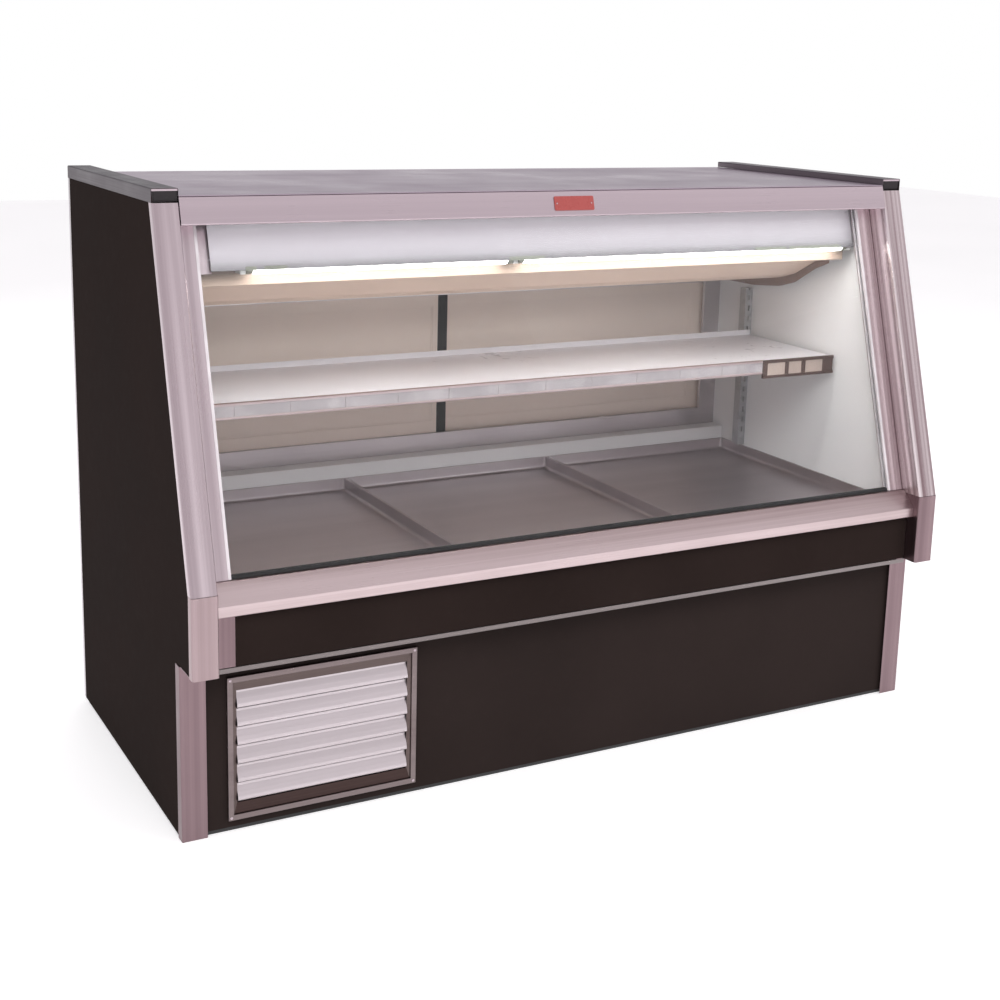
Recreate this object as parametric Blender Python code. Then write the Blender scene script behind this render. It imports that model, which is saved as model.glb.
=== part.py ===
"""Refrigerated deli case: a six-foot service case with a leaning front glass.

Metres, +Z up. The front faces -Y, +X is the right end seen from the front, and the
origin is on the floor under the middle of the case. Sheet metal parts are made as bent
sheets, and touching parts keep a hairline clearance so that each stays its own solid.
"""

import math

import bmesh
import bpy
from mathutils import Matrix, Vector

# ---------------------------------------------------------------- driving dimensions
WIDTH = 1.803
DEPTH = 0.864
HEIGHT = 1.245

BASE_SETBACK = 0.084        # how far the base stands behind the overhanging front
WING_BOTTOM = 0.360         # underside of the overhang
KNEE = 0.516                # height where the front starts to lean back
LEAN = 0.290                # run to the rear for each metre of rise
CAP_HEIGHT = 0.027

GAP = 0.0003                # clearance between touching parts
SHEET = 0.0015
PLATE = 0.002

POST_WIDTH = 0.052
POST_DEPTH = 0.080
POST_FOOT = 0.5205          # the leaning posts stand on the lower posts
LOWER_POST_WIDTH = 0.0525
LOWER_POST_TOP = 0.520
POST_RETURN = 0.020         # outer flange of a post, front to back
FLANGE = 0.0012             # outer flanges that lap over the end panels
END_WALL = 0.060            # outside face to the white inner face
SKIN_FOOT = 0.004           # end panels stop just above the floor

CORNER_TRIM_FRONT = 0.051
CORNER_TRIM_SIDE = 0.025
PANEL_RECESS = 0.008        # base front panel behind its corner trims
PANEL_HALF = 0.880
PANEL_FOOT = 0.008
FRAME_BAR = 0.040           # square posts and bottom rails of the base frame
FRAME_TOP_BAR = 0.030

GRILLE_LEFT = -0.808
GRILLE_RIGHT = -0.406
GRILLE_BOTTOM = 0.024
GRILLE_TOP = 0.321
GRILLE_SIDE = 0.020
GRILLE_FOOT = 0.034
GRILLE_HEAD = 0.030
LOUVRE_COUNT = 6

SILL_BOTTOM = 0.4675
SILL_TOP = 0.5255
SILL_FRONT_SETBACK = 0.019
APRON_SETBACK = 0.038

APRON_TRIM_DEPTH = 0.046
APRON_TRIM_DROP = 0.009

GLASS_SETBACK = 0.064
GLASS_THICKNESS = 0.006
GLASS_HALF = 0.835
CHANNEL_LIP = 0.806         # free edges of the glass channels, from the middle
CHANNEL_DEPTH = 0.020

FASCIA_BOTTOM = 1.176
PANEL_TOP = 1.231           # upper face of the top sheet

DECK_TOP = 0.497
TUB_BOTTOM = 0.362
TUB_FLOOR = 0.410
TUB_LEDGE = 0.4665          # the deck pans stand on it
TUB_REAR_TOP = 0.530

SHELF_TOP = 0.804
SHELF_FRONT = -0.108
SHELF_REAR = 0.225
SHELF_HALF = 0.832
SHELF_LIP = 0.018
SHELF_UPSTAND = 0.012

DOOR_BOTTOM = 0.565
DOOR_TOP = 0.938
DOOR_HALF_SPAN = 0.802
DOOR_OVERLAP = 0.015
DOOR_THICKNESS = 0.009
DOOR_STILE = 0.040
DOOR_GROOVE = 0.002         # the panels are set back this far inside their stiles
DOOR_LIP = 0.010            # frame lips in front of and behind the two tracks
DOOR_WINDOW_HALF = 0.790
PULL_BOTTOM = 0.690
PULL_TOP = 0.810
PULL_WIDTH = 0.016

LAMP_Z = 1.0845
LAMP_Y = -0.166
LAMP_RADIUS = 0.013
LAMP_SHORT = 0.590
LAMP_LONG = 0.895
LAMP_LEFT_END = -0.703
REFLECTOR_FOOT = 1.101
CANOPY_HALF = 0.812
CANOPY_BEHIND = 0.090       # reflector plane behind the front plane
LAMP_CAP = 0.014
LAMP_HOLDER = 0.012
PRICE_RAIL_RIGHT = 0.615
STANDARD_FRONT = 0.235
STANDARD_BOTTOM = 0.500
STANDARD_TOP = 0.925
STANDARD_SLOTS = 14
STANDARD_PITCH = 0.0275

CONDENSER_FAN = Vector((-0.605, -0.215, 0.175))
EVAPORATOR_FAN = Vector((0.0, 0.338, 1.070))
KNOB = Vector((0.620, 0.405, 0.190))
SWITCH = Vector((0.525, 0.405, 0.190))
CONTROL_BOX = (0.445, 0.705, 0.115, 0.265)
CONTROL_WINDOW = (0.455, 0.695, 0.125, 0.255)

VENT_CENTRES = (-0.60, -0.05)
VENT_HALF = 0.16
VENT_ROWS = 7
VENT_BOTTOM = 0.080
VENT_PITCH = 0.030
VENT_SLOT = 0.010
SERVICE_TOP = 0.529
SERVICE_FOOT = 0.012
COMPRESSOR = (-0.600, 0.090)

# ---------------------------------------------------------------- derived positions
HALF = WIDTH / 2
FRONT = -DEPTH / 2
REAR = DEPTH / 2
BASE_FRONT = FRONT + BASE_SETBACK
POST_TOP = HEIGHT - CAP_HEIGHT
SKIN_OUTER = HALF - FLANGE
SKIN_INNER = SKIN_OUTER - SHEET
WALL_INNER = HALF - END_WALL
POST_INNER = HALF - POST_WIDTH
LOWER_INNER = HALF - LOWER_POST_WIDTH
SERVICE_Y = REAR - 0.027    # outer side of the base and tub at the rear
TOP_SHEET_UNDER = PANEL_TOP - PLATE
MACHINE_FLOOR = FRAME_BAR + PLATE

# ---------------------------------------------------------------- finishes
# name: (base colour, roughness, metallic)
FINISHES = {
    "brushed_steel": ((0.56, 0.51, 0.53), 0.34, 1.0),
    "black_panel": ((0.030, 0.024, 0.023), 0.42, 0.0),
    "louvre_silver": ((0.62, 0.60, 0.62), 0.38, 0.9),
    "white_liner": ((0.83, 0.82, 0.82), 0.45, 0.0),
    "white_enamel": ((0.86, 0.84, 0.87), 0.35, 0.0),
    "glass": ((0.80, 0.88, 0.86), 0.03, 0.0),
    "lamp": ((0.98, 0.98, 0.95), 0.25, 0.0),
    "grey_plastic": ((0.60, 0.60, 0.60), 0.5, 0.0),
    "galvanised": ((0.55, 0.56, 0.57), 0.5, 0.9),
    "door_panel": ((0.62, 0.58, 0.54), 0.4, 0.0),
    "coil_fins": ((0.66, 0.66, 0.67), 0.45, 0.9),
    "black_metal": ((0.035, 0.035, 0.037), 0.45, 0.3),
    "black_plastic": ((0.040, 0.040, 0.042), 0.5, 0.0),
}


def clear_scene():
    for obj in list(bpy.data.objects):
        bpy.data.objects.remove(obj)


def make_material(name, finish):
    colour, roughness, metallic = FINISHES[finish]
    material = bpy.data.materials.new(name)
    material.use_nodes = True
    shader = material.node_tree.nodes["Principled BSDF"]
    shader.inputs["Base Color"].default_value = (*colour, 1.0)
    shader.inputs["Roughness"].default_value = roughness
    shader.inputs["Metallic"].default_value = metallic
    if finish == "glass":
        shader.inputs["Transmission Weight"].default_value = 0.9
    return material


def add_object(name, bm, finish, smooth=False):
    """Turns a bmesh into a named object with its own material."""
    bmesh.ops.recalc_face_normals(bm, faces=bm.faces)
    mesh = bpy.data.meshes.new(name)
    bm.to_mesh(mesh)
    bm.free()
    if smooth:
        mesh.shade_smooth()
        mesh.set_sharp_from_angle(angle=math.radians(35))
    obj = bpy.data.objects.new(name, mesh)
    mesh.materials.append(make_material(name, finish))
    bpy.context.scene.collection.objects.link(obj)
    return obj


def set_origin(obj, point):
    """Moves the object's origin to a point without moving its mesh."""
    obj.data.transform(Matrix.Translation(-Vector(point)))
    obj.location = point


# ---------------------------------------------------------------- shape builders
def front_y(z):
    """The front plane: upright below the knee, leaning back above it."""
    return FRONT + max(0.0, z - KNEE) * LEAN


def inside(boxes, x, y, z):
    return any(b[0] < x < b[1] and b[2] < y < b[3] and b[4] < z < b[5] for b in boxes)


def blocks(name, boxes, finish, cuts=()):
    """One solid from axis-aligned boxes (x0, x1, y0, y1, z0, z1), less the cut boxes."""
    spans = []
    for axis in range(3):
        ends = {round(b[axis * 2 + end], 6) for b in [*boxes, *cuts] for end in (0, 1)}
        spans.append(sorted(ends))
    xs, ys, zs = spans
    filled = set()
    for i in range(len(xs) - 1):
        for j in range(len(ys) - 1):
            for k in range(len(zs) - 1):
                centre = (
                    (xs[i] + xs[i + 1]) / 2,
                    (ys[j] + ys[j + 1]) / 2,
                    (zs[k] + zs[k + 1]) / 2,
                )
                if inside(boxes, *centre) and not inside(cuts, *centre):
                    filled.add((i, j, k))
    bm = bmesh.new()
    corners = {}

    def corner(i, j, k):
        if (i, j, k) not in corners:
            corners[i, j, k] = bm.verts.new((xs[i], ys[j], zs[k]))
        return corners[i, j, k]

    def quad(*points):
        bm.faces.new([corner(*p) for p in points])

    for i, j, k in sorted(filled):
        if (i - 1, j, k) not in filled:
            quad((i, j, k), (i, j, k + 1), (i, j + 1, k + 1), (i, j + 1, k))
        if (i + 1, j, k) not in filled:
            quad((i + 1, j, k), (i + 1, j + 1, k), (i + 1, j + 1, k + 1), (i + 1, j, k + 1))
        if (i, j - 1, k) not in filled:
            quad((i, j, k), (i + 1, j, k), (i + 1, j, k + 1), (i, j, k + 1))
        if (i, j + 1, k) not in filled:
            quad((i, j + 1, k), (i, j + 1, k + 1), (i + 1, j + 1, k + 1), (i + 1, j + 1, k))
        if (i, j, k - 1) not in filled:
            quad((i, j, k), (i, j + 1, k), (i + 1, j + 1, k), (i + 1, j, k))
        if (i, j, k + 1) not in filled:
            quad((i, j, k + 1), (i + 1, j, k + 1), (i + 1, j + 1, k + 1), (i, j + 1, k + 1))
    return add_object(name, bm, finish)


def prism(name, outline, x0, x1, finish):
    """A side outline of (y, z) points, extruded along X."""
    bm = bmesh.new()
    near = [bm.verts.new((x0, y, z)) for y, z in outline]
    far = [bm.verts.new((x1, y, z)) for y, z in outline]
    bm.faces.new(near)
    bm.faces.new(list(reversed(far)))
    for i in range(len(outline)):
        j = (i + 1) % len(outline)
        bm.faces.new([near[j], near[i], far[i], far[j]])
    return add_object(name, bm, finish)


def offset_path(path, distance):
    """The path moved sideways to its left by a distance, with mitred corners."""
    moved = []
    for i, (y, z) in enumerate(path):
        normals = []
        for a, b in ((i - 1, i), (i, i + 1)):
            if a < 0 or b >= len(path):
                continue
            along = Vector((path[b][0] - path[a][0], path[b][1] - path[a][1])).normalized()
            normals.append(Vector((-along.y, along.x)))
        mean = sum(normals, Vector((0.0, 0.0))).normalized()
        reach = distance / mean.dot(normals[0])
        moved.append((y + mean.x * reach, z + mean.y * reach))
    return moved


def bent_sheet(name, path, thickness, x0, x1, finish):
    """Sheet metal folded along a (y, z) path; the material lies to the path's left."""
    outline = [*path, *reversed(offset_path(path, thickness))]
    return prism(name, outline, x0, x1, finish)


def leaning_bar(name, section, z0, z1, finish):
    """A section of (x, depth behind the front plane), run up the leaning front."""
    bm = bmesh.new()
    low = [bm.verts.new((x, front_y(z0) + depth, z0)) for x, depth in section]
    high = [bm.verts.new((x, front_y(z1) + depth, z1)) for x, depth in section]
    bm.faces.new(low)
    bm.faces.new(list(reversed(high)))
    for i in range(len(section)):
        j = (i + 1) % len(section)
        bm.faces.new([low[j], low[i], high[i], high[j]])
    return add_object(name, bm, finish)


def turned(name, profile, centre, axis, finish, segments=24):
    """A turned piece: (radius, distance along the axis) points, closed at both ends."""
    bm = bmesh.new()
    turn = Vector((0, 0, 1)).rotation_difference(Vector(axis)).to_matrix()
    rings = []
    for radius, along in profile:
        if radius == 0:
            rings.append([bm.verts.new(turn @ Vector((0, 0, along)) + Vector(centre))])
            continue
        ring = []
        for step in range(segments):
            angle = 2 * math.pi * step / segments
            point = Vector((radius * math.cos(angle), radius * math.sin(angle), along))
            ring.append(bm.verts.new(turn @ point + Vector(centre)))
        rings.append(ring)
    for ring, following in zip(rings, rings[1:]):
        for step in range(segments):
            after = (step + 1) % segments
            corners = [ring[step % len(ring)], ring[after % len(ring)]]
            corners += [following[after % len(following)], following[step % len(following)]]
            bm.faces.new(list(dict.fromkeys(corners)))
    return add_object(name, bm, finish, smooth=True)


def fan_wheel(name, centre, radius, hub_radius, depth, blades, finish):
    """A hub with pitched blades drawn out of its side faces; it turns about Y."""
    sides = blades * 3
    bm = bmesh.new()
    rings = []
    for y in (-depth / 2, depth / 2):
        ring = []
        for step in range(sides):
            angle = 2 * math.pi * step / sides
            point = (hub_radius * math.cos(angle), y, hub_radius * math.sin(angle))
            ring.append(bm.verts.new(point))
        rings.append(ring)
    bm.faces.new(rings[0])
    bm.faces.new(list(reversed(rings[1])))
    roots = []
    for step in range(sides):
        after = (step + 1) % sides
        face = bm.faces.new([rings[0][after], rings[0][step], rings[1][step], rings[1][after]])
        if step % 3 == 0:
            roots.append(face)
    bmesh.ops.recalc_face_normals(bm, faces=bm.faces)
    thin = 0.0012
    for blade, face in enumerate(roots):
        middle = 2 * math.pi * (3 * blade + 0.5) / sides
        for share in (0.35, 1.0):
            grown = bmesh.ops.extrude_discrete_faces(bm, faces=[face])["faces"][0]
            reach = hub_radius + (radius - hub_radius) * share
            spread = math.radians(24 + 10 * share)
            for vert in grown.verts:
                trailing = math.atan2(vert.co.z, vert.co.x) - middle
                trailing = (trailing + math.pi) % (2 * math.pi) - math.pi
                side = 1 if trailing > 0 else -1
                back = 1 if vert.co.y > 0 else -1
                angle = middle + side * spread / 2
                pitch = side * depth * 0.34
                vert.co = Vector(
                    (reach * math.cos(angle), pitch + back * thin, reach * math.sin(angle))
                )
            face = grown
    obj = add_object(name, bm, finish)
    obj.data.transform(Matrix.Translation(centre))
    set_origin(obj, centre)
    return obj


def union_with(obj, other):
    """Joins another solid to an object with a Boolean; the other stays as a hidden guide."""
    other.hide_render = True
    other.display_type = "WIRE"
    modifier = obj.modifiers.new("join", "BOOLEAN")
    modifier.operation = "UNION"
    modifier.solver = "EXACT"
    modifier.object = other


def mirrored(section, side):
    return [(side * x, depth) for x, depth in section]


def box_on_side(side, near, far, *rest):
    """A box between two distances from the middle, on the left (-1) or right (+1)."""
    return (*sorted((side * near, side * far)), *rest)


# ---------------------------------------------------------------- base
def make_base():
    wide = SKIN_INNER - GAP
    front = BASE_FRONT + PANEL_RECESS + SHEET + GAP
    rear = SERVICE_Y - GAP
    rail = FRAME_BAR
    top = TUB_BOTTOM - GAP
    tray = (-wide, wide, front, rear, rail, rail + PLATE)
    boxes = [tray]
    for z0, z1 in ((0.0, rail), (top - FRAME_TOP_BAR, top)):
        boxes.append((-wide, wide, front, front + rail, z0, z1))
        boxes.append((-wide, wide, rear - rail, rear, z0, z1))
        for side in (-1, 1):
            boxes.append(box_on_side(side, wide - rail, wide, front, rear, z0, z1))
    for side in (-1, 1):
        for y in (front, rear - rail):
            boxes.append(box_on_side(side, wide - rail, wide, y, y + rail, 0.0, top))
    boxes.append((-rail / 2, rail / 2, front, rear, 0.0, rail))
    blocks("base_frame", boxes, "black_metal")

    panel_y = BASE_FRONT + PANEL_RECESS
    panel = (-PANEL_HALF, PANEL_HALF, panel_y, panel_y + SHEET, PANEL_FOOT, WING_BOTTOM - 0.001)
    vent = (
        GRILLE_LEFT + GRILLE_SIDE,
        GRILLE_RIGHT - GRILLE_SIDE,
        panel_y - 1,
        panel_y + 1,
        GRILLE_BOTTOM + 0.026,
        GRILLE_TOP - 0.024,
    )
    blocks("base_front_panel", [panel], "black_panel", cuts=[vent])

    for side, word in ((-1, "left"), (1, "right")):
        blocks(
            f"base_corner_trim_{word}",
            [
                box_on_side(
                    side, HALF - CORNER_TRIM_FRONT, HALF,
                    BASE_FRONT, BASE_FRONT + SHEET, 0.0, WING_BOTTOM - 0.0005,
                ),
                box_on_side(
                    side, HALF - FLANGE + GAP, HALF,
                    BASE_FRONT, BASE_FRONT + CORNER_TRIM_SIDE, 0.0, WING_BOTTOM - 0.0005,
                ),
            ],
            "brushed_steel",
        )


def make_grille():
    back = BASE_FRONT + PANEL_RECESS - GAP
    inner_left = GRILLE_LEFT + GRILLE_SIDE
    inner_right = GRILLE_RIGHT - GRILLE_SIDE
    inner_bottom = GRILLE_BOTTOM + GRILLE_FOOT
    inner_top = GRILLE_TOP - GRILLE_HEAD
    blocks(
        "grille_frame",
        [(GRILLE_LEFT, GRILLE_RIGHT, BASE_FRONT, back, GRILLE_BOTTOM, GRILLE_TOP)],
        "brushed_steel",
        cuts=[(inner_left, inner_right, BASE_FRONT - 1, back + 1, inner_bottom, inner_top)],
    )
    pitch = (inner_top - inner_bottom) / LOUVRE_COUNT
    for number in range(LOUVRE_COUNT):
        foot = inner_bottom + number * pitch
        path = [
            (BASE_FRONT + 0.0165, foot + pitch - 0.0010),
            (BASE_FRONT + 0.0165, foot + pitch - 0.0060),
            (BASE_FRONT + 0.0015, foot + 0.0045),
            (BASE_FRONT + 0.0060, foot + 0.0025),
        ]
        bent_sheet(
            f"grille_louvre_{number + 1}", path, SHEET,
            inner_left + GAP, inner_right - GAP, "louvre_silver",
        )


# ---------------------------------------------------------------- ends
def make_ends():
    lap = PLATE + GAP
    skin_top = HEIGHT - lap - GAP
    wall_top = TOP_SHEET_UNDER - 0.0005
    wall_rear = REAR - PLATE
    skin = [
        (REAR, SKIN_FOOT),
        (BASE_FRONT + SHEET + GAP, SKIN_FOOT),
        (BASE_FRONT + SHEET + GAP, WING_BOTTOM + lap),
        (FRONT + lap, WING_BOTTOM + lap),
        (FRONT + lap, KNEE),
        (front_y(skin_top) + lap, skin_top),
        (REAR, skin_top),
    ]
    behind = POST_DEPTH + 0.0005
    wall = [
        (wall_rear, TUB_BOTTOM + 0.0005),
        (FRONT + behind, TUB_BOTTOM + 0.0005),
        (FRONT + behind, KNEE),
        (front_y(wall_top) + behind, wall_top),
        (wall_rear, wall_top),
    ]
    post = [
        (HALF, 0.0),
        (POST_INNER, 0.0),
        (POST_INNER, POST_DEPTH),
        (POST_INNER + PLATE, POST_DEPTH),
        (POST_INNER + PLATE, PLATE),
        (SKIN_OUTER + GAP, PLATE),
        (SKIN_OUTER + GAP, POST_RETURN),
        (HALF, POST_RETURN),
    ]
    for side, word in ((-1, "left"), (1, "right")):
        prism(
            f"end_panel_{word}", skin,
            *sorted((side * SKIN_OUTER, side * SKIN_INNER)), "black_panel",
        )
        prism(
            f"end_wall_{word}", wall,
            *sorted((side * WALL_INNER, side * (SKIN_INNER - GAP))), "white_liner",
        )
        leaning_bar(
            f"end_post_{word}", mirrored(post, side), POST_FOOT, POST_TOP, "brushed_steel"
        )
        lower_rear = FRONT + POST_DEPTH
        blocks(
            f"lower_post_{word}",
            [
                box_on_side(
                    side, LOWER_INNER, HALF,
                    FRONT, FRONT + PLATE, WING_BOTTOM, LOWER_POST_TOP,
                ),
                box_on_side(
                    side, LOWER_INNER, LOWER_INNER + PLATE,
                    FRONT, lower_rear, WING_BOTTOM, LOWER_POST_TOP,
                ),
                box_on_side(
                    side, SKIN_OUTER + GAP, HALF,
                    FRONT, FRONT + POST_RETURN, WING_BOTTOM, LOWER_POST_TOP,
                ),
                box_on_side(
                    side, LOWER_INNER, HALF, FRONT, lower_rear, WING_BOTTOM, WING_BOTTOM + PLATE
                ),
            ],
            "brushed_steel",
        )
        cap_front = front_y(POST_TOP) + 0.004
        blocks(
            f"top_cap_{word}",
            [
                box_on_side(side, POST_INNER, HALF, cap_front, REAR, HEIGHT - PLATE, HEIGHT),
                box_on_side(
                    side, POST_INNER, POST_INNER + PLATE,
                    cap_front, REAR, PANEL_TOP + 0.0005, HEIGHT,
                ),
                box_on_side(
                    side, SKIN_OUTER + GAP, HALF, cap_front, REAR, POST_TOP + GAP, HEIGHT
                ),
            ],
            "brushed_steel",
        )


# ---------------------------------------------------------------- front and top
def make_front():
    between = LOWER_INNER - GAP
    sill_front = FRONT + SILL_FRONT_SETBACK
    apron_front = FRONT + APRON_SETBACK
    sill = [
        (apron_front + 0.002, SILL_BOTTOM),
        (sill_front, SILL_BOTTOM),
        (sill_front, SILL_BOTTOM + 0.0225),
        (sill_front + 0.035, SILL_TOP),
        (sill_front + 0.059, SILL_TOP),
        (sill_front + 0.059, DECK_TOP),
    ]
    bent_sheet("sill_rail", list(reversed(sill)), PLATE, -between, between, "brushed_steel")

    blocks(
        "front_apron",
        [(-between, between, apron_front, apron_front + SHEET, TUB_BOTTOM, SILL_BOTTOM - 0.0008)],
        "black_panel",
    )
    trim_front = apron_front - 0.0018
    trim = [
        (trim_front, TUB_BOTTOM - 0.0008),
        (trim_front, WING_BOTTOM - APRON_TRIM_DROP),
        (trim_front + APRON_TRIM_DEPTH, WING_BOTTOM - APRON_TRIM_DROP),
    ]
    bent_sheet("apron_bottom_trim", trim, SHEET, -between, between, "brushed_steel")

    glass = [
        (-GLASS_HALF, GLASS_SETBACK),
        (GLASS_HALF, GLASS_SETBACK),
        (GLASS_HALF, GLASS_SETBACK + GLASS_THICKNESS),
        (-GLASS_HALF, GLASS_SETBACK + GLASS_THICKNESS),
    ]
    leaning_bar("front_glass", glass, SILL_TOP + 0.0015, FASCIA_BOTTOM + 0.013, "glass")

    web = POST_INNER - GAP
    near = GLASS_SETBACK - 0.006
    far = near + CHANNEL_DEPTH
    channel = [
        (CHANNEL_LIP, near),
        (web, near),
        (web, far),
        (CHANNEL_LIP, far),
        (CHANNEL_LIP, far - PLATE),
        (web - PLATE, far - PLATE),
        (web - PLATE, near + PLATE),
        (CHANNEL_LIP, near + PLATE),
    ]
    for side, word in ((-1, "left"), (1, "right")):
        leaning_bar(
            f"glass_channel_{word}", mirrored(channel, side),
            SILL_TOP + 0.0005, FASCIA_BOTTOM - 0.0005, "brushed_steel",
        )

    fascia_top = TOP_SHEET_UNDER - GAP
    proud = 0.001
    fascia = [
        (FRONT + (FASCIA_BOTTOM - KNEE) * LEAN + 0.059, FASCIA_BOTTOM),
        (front_y(FASCIA_BOTTOM) + proud, FASCIA_BOTTOM),
        (front_y(fascia_top) + proud, fascia_top),
        (front_y(fascia_top) + 0.036, fascia_top),
    ]
    bent_sheet(
        "top_fascia", list(reversed(fascia)), PLATE,
        -(POST_INNER - GAP), POST_INNER - GAP, "brushed_steel",
    )
    blocks(
        "top_panel",
        [
            (
                -(POST_INNER - 0.0005), POST_INNER - 0.0005,
                front_y(fascia_top) + proud, REAR - 0.001, TOP_SHEET_UNDER, PANEL_TOP,
            )
        ],
        "brushed_steel",
    )


# ---------------------------------------------------------------- cold space
def make_tub_and_deck():
    half = WALL_INNER - GAP
    front = FRONT + APRON_SETBACK + SHEET + 0.001
    rear = SERVICE_Y - 0.001
    blocks(
        "insulated_tub",
        [
            (-half, half, front, rear, TUB_BOTTOM, TUB_FLOOR),
            (-half, half, front, front + 0.060, TUB_BOTTOM, TUB_LEDGE),
            (-half, half, rear - 0.098, rear, TUB_BOTTOM, TUB_LEDGE),
            (-half, half, rear - 0.068, rear, TUB_BOTTOM, TUB_REAR_TOP),
        ],
        "white_liner",
    )
    pan_front = FRONT + SILL_FRONT_SETBACK + 0.0615
    pan_rear = rear - 0.0695
    pan_width = (2 * half - 0.002) / 3
    low = TUB_LEDGE + GAP
    for number, word in enumerate(("left", "centre", "right")):
        x0 = -half + 0.0005 + number * (pan_width + 0.0005)
        x1 = x0 + pan_width - 0.0005
        hollow = (
            x0 + PLATE, x1 - PLATE, pan_front + PLATE, pan_rear - PLATE, low + PLATE, DECK_TOP + 1
        )
        blocks(
            f"deck_pan_{word}", [(x0, x1, pan_front, pan_rear, low, DECK_TOP)],
            "brushed_steel", cuts=[hollow],
        )


def make_shelf():
    under = SHELF_TOP - 0.0035
    span = (-SHELF_HALF, SHELF_HALF)
    blocks(
        "shelf_panel",
        [
            (*span, SHELF_FRONT, SHELF_REAR, under, under + PLATE),
            (*span, SHELF_FRONT, SHELF_FRONT + PLATE, under - SHELF_LIP, under + PLATE),
            (*span, SHELF_REAR - PLATE, SHELF_REAR, under, SHELF_TOP + SHELF_UPSTAND),
        ],
        "white_enamel",
    )
    rail_front = SHELF_FRONT - 0.006
    rail = [
        (SHELF_FRONT - GAP, SHELF_TOP + 0.002),
        (rail_front + 0.003, SHELF_TOP + 0.002),
        (rail_front, SHELF_TOP - 0.002),
        (rail_front, SHELF_TOP - 0.029),
        (rail_front + 0.003, SHELF_TOP - 0.033),
        (SHELF_FRONT - GAP, SHELF_TOP - 0.033),
    ]
    prism("price_rail", rail, span[0], PRICE_RAIL_RIGHT, "brushed_steel")
    bracket = [
        (SHELF_FRONT + 0.030, under - GAP),
        (SHELF_FRONT + 0.030, under - 0.014),
        (STANDARD_FRONT - 0.060, under - 0.075),
        (STANDARD_FRONT - GAP, under - 0.085),
        (STANDARD_FRONT - GAP, under - GAP),
    ]
    outer = WALL_INNER - GAP
    for side, word in ((-1, "left"), (1, "right")):
        prism(
            f"shelf_bracket_{word}", bracket,
            *sorted((side * (outer - 0.0125), side * (outer - 0.0095))), "galvanised",
        )
        slot_depth = STANDARD_FRONT + 0.008
        slots = []
        for step in range(STANDARD_SLOTS):
            z = STANDARD_BOTTOM + 0.035 + step * STANDARD_PITCH
            slots.append(
                box_on_side(side, outer - 0.0135, outer - 0.0085, 0.0, slot_depth, z, z + 0.014)
            )
        blocks(
            f"shelf_standard_{word}",
            [
                box_on_side(
                    side, outer - 0.022, outer, STANDARD_FRONT, STANDARD_FRONT + 0.025,
                    STANDARD_BOTTOM, STANDARD_TOP,
                )
            ],
            "galvanised",
            cuts=slots,
        )


def make_canopy():
    top = TOP_SHEET_UNDER - GAP
    path = [
        (front_y(top) + CANOPY_BEHIND + 0.036, top),
        (front_y(top) + CANOPY_BEHIND, top),
        (front_y(REFLECTOR_FOOT) + CANOPY_BEHIND, REFLECTOR_FOOT),
        (-0.143, REFLECTOR_FOOT),
        (-0.143, 1.048),
        (-0.095, 1.046),
        (-0.045, 1.032),
        (0.030, 0.992),
        (0.090, 0.975),
        (0.197, 0.960),
        (0.320, 0.953),
        (0.320, 0.978),
    ]
    bent_sheet("light_canopy", path, PLATE, -CANOPY_HALF, CANOPY_HALF, "white_enamel")
    joint = LAMP_LEFT_END + LAMP_SHORT
    second = joint + LAMP_HOLDER + 2 * GAP
    ends = {"left": (LAMP_LEFT_END, joint), "right": (second, second + LAMP_LONG)}
    for word, (x0, x1) in ends.items():
        profile = [
            (0.0, 0.0),
            (LAMP_RADIUS - 0.0015, 0.0),
            (LAMP_RADIUS - 0.0005, LAMP_CAP),
            (LAMP_RADIUS, LAMP_CAP + 0.002),
            (LAMP_RADIUS, x1 - x0 - LAMP_CAP - 0.002),
            (LAMP_RADIUS - 0.0005, x1 - x0 - LAMP_CAP),
            (LAMP_RADIUS - 0.0015, x1 - x0),
            (0.0, x1 - x0),
        ]
        turned(f"lamp_tube_{word}", profile, (x0, LAMP_Y, LAMP_Z), (1, 0, 0), "lamp", 16)
    starts = {
        "left": LAMP_LEFT_END - GAP - LAMP_HOLDER,
        "centre": joint + GAP,
        "right": second + LAMP_LONG + GAP,
    }
    for word, x0 in starts.items():
        x1 = x0 + LAMP_HOLDER
        blocks(
            f"lamp_holder_{word}",
            [
                (x0, x1, LAMP_Y - 0.009, LAMP_Y + 0.009, LAMP_Z - 0.012, REFLECTOR_FOOT - GAP),
                (x0, x1, LAMP_Y - 0.009, -0.1434, LAMP_Z - 0.003, REFLECTOR_FOOT - GAP),
            ],
            "grey_plastic",
        )


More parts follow.
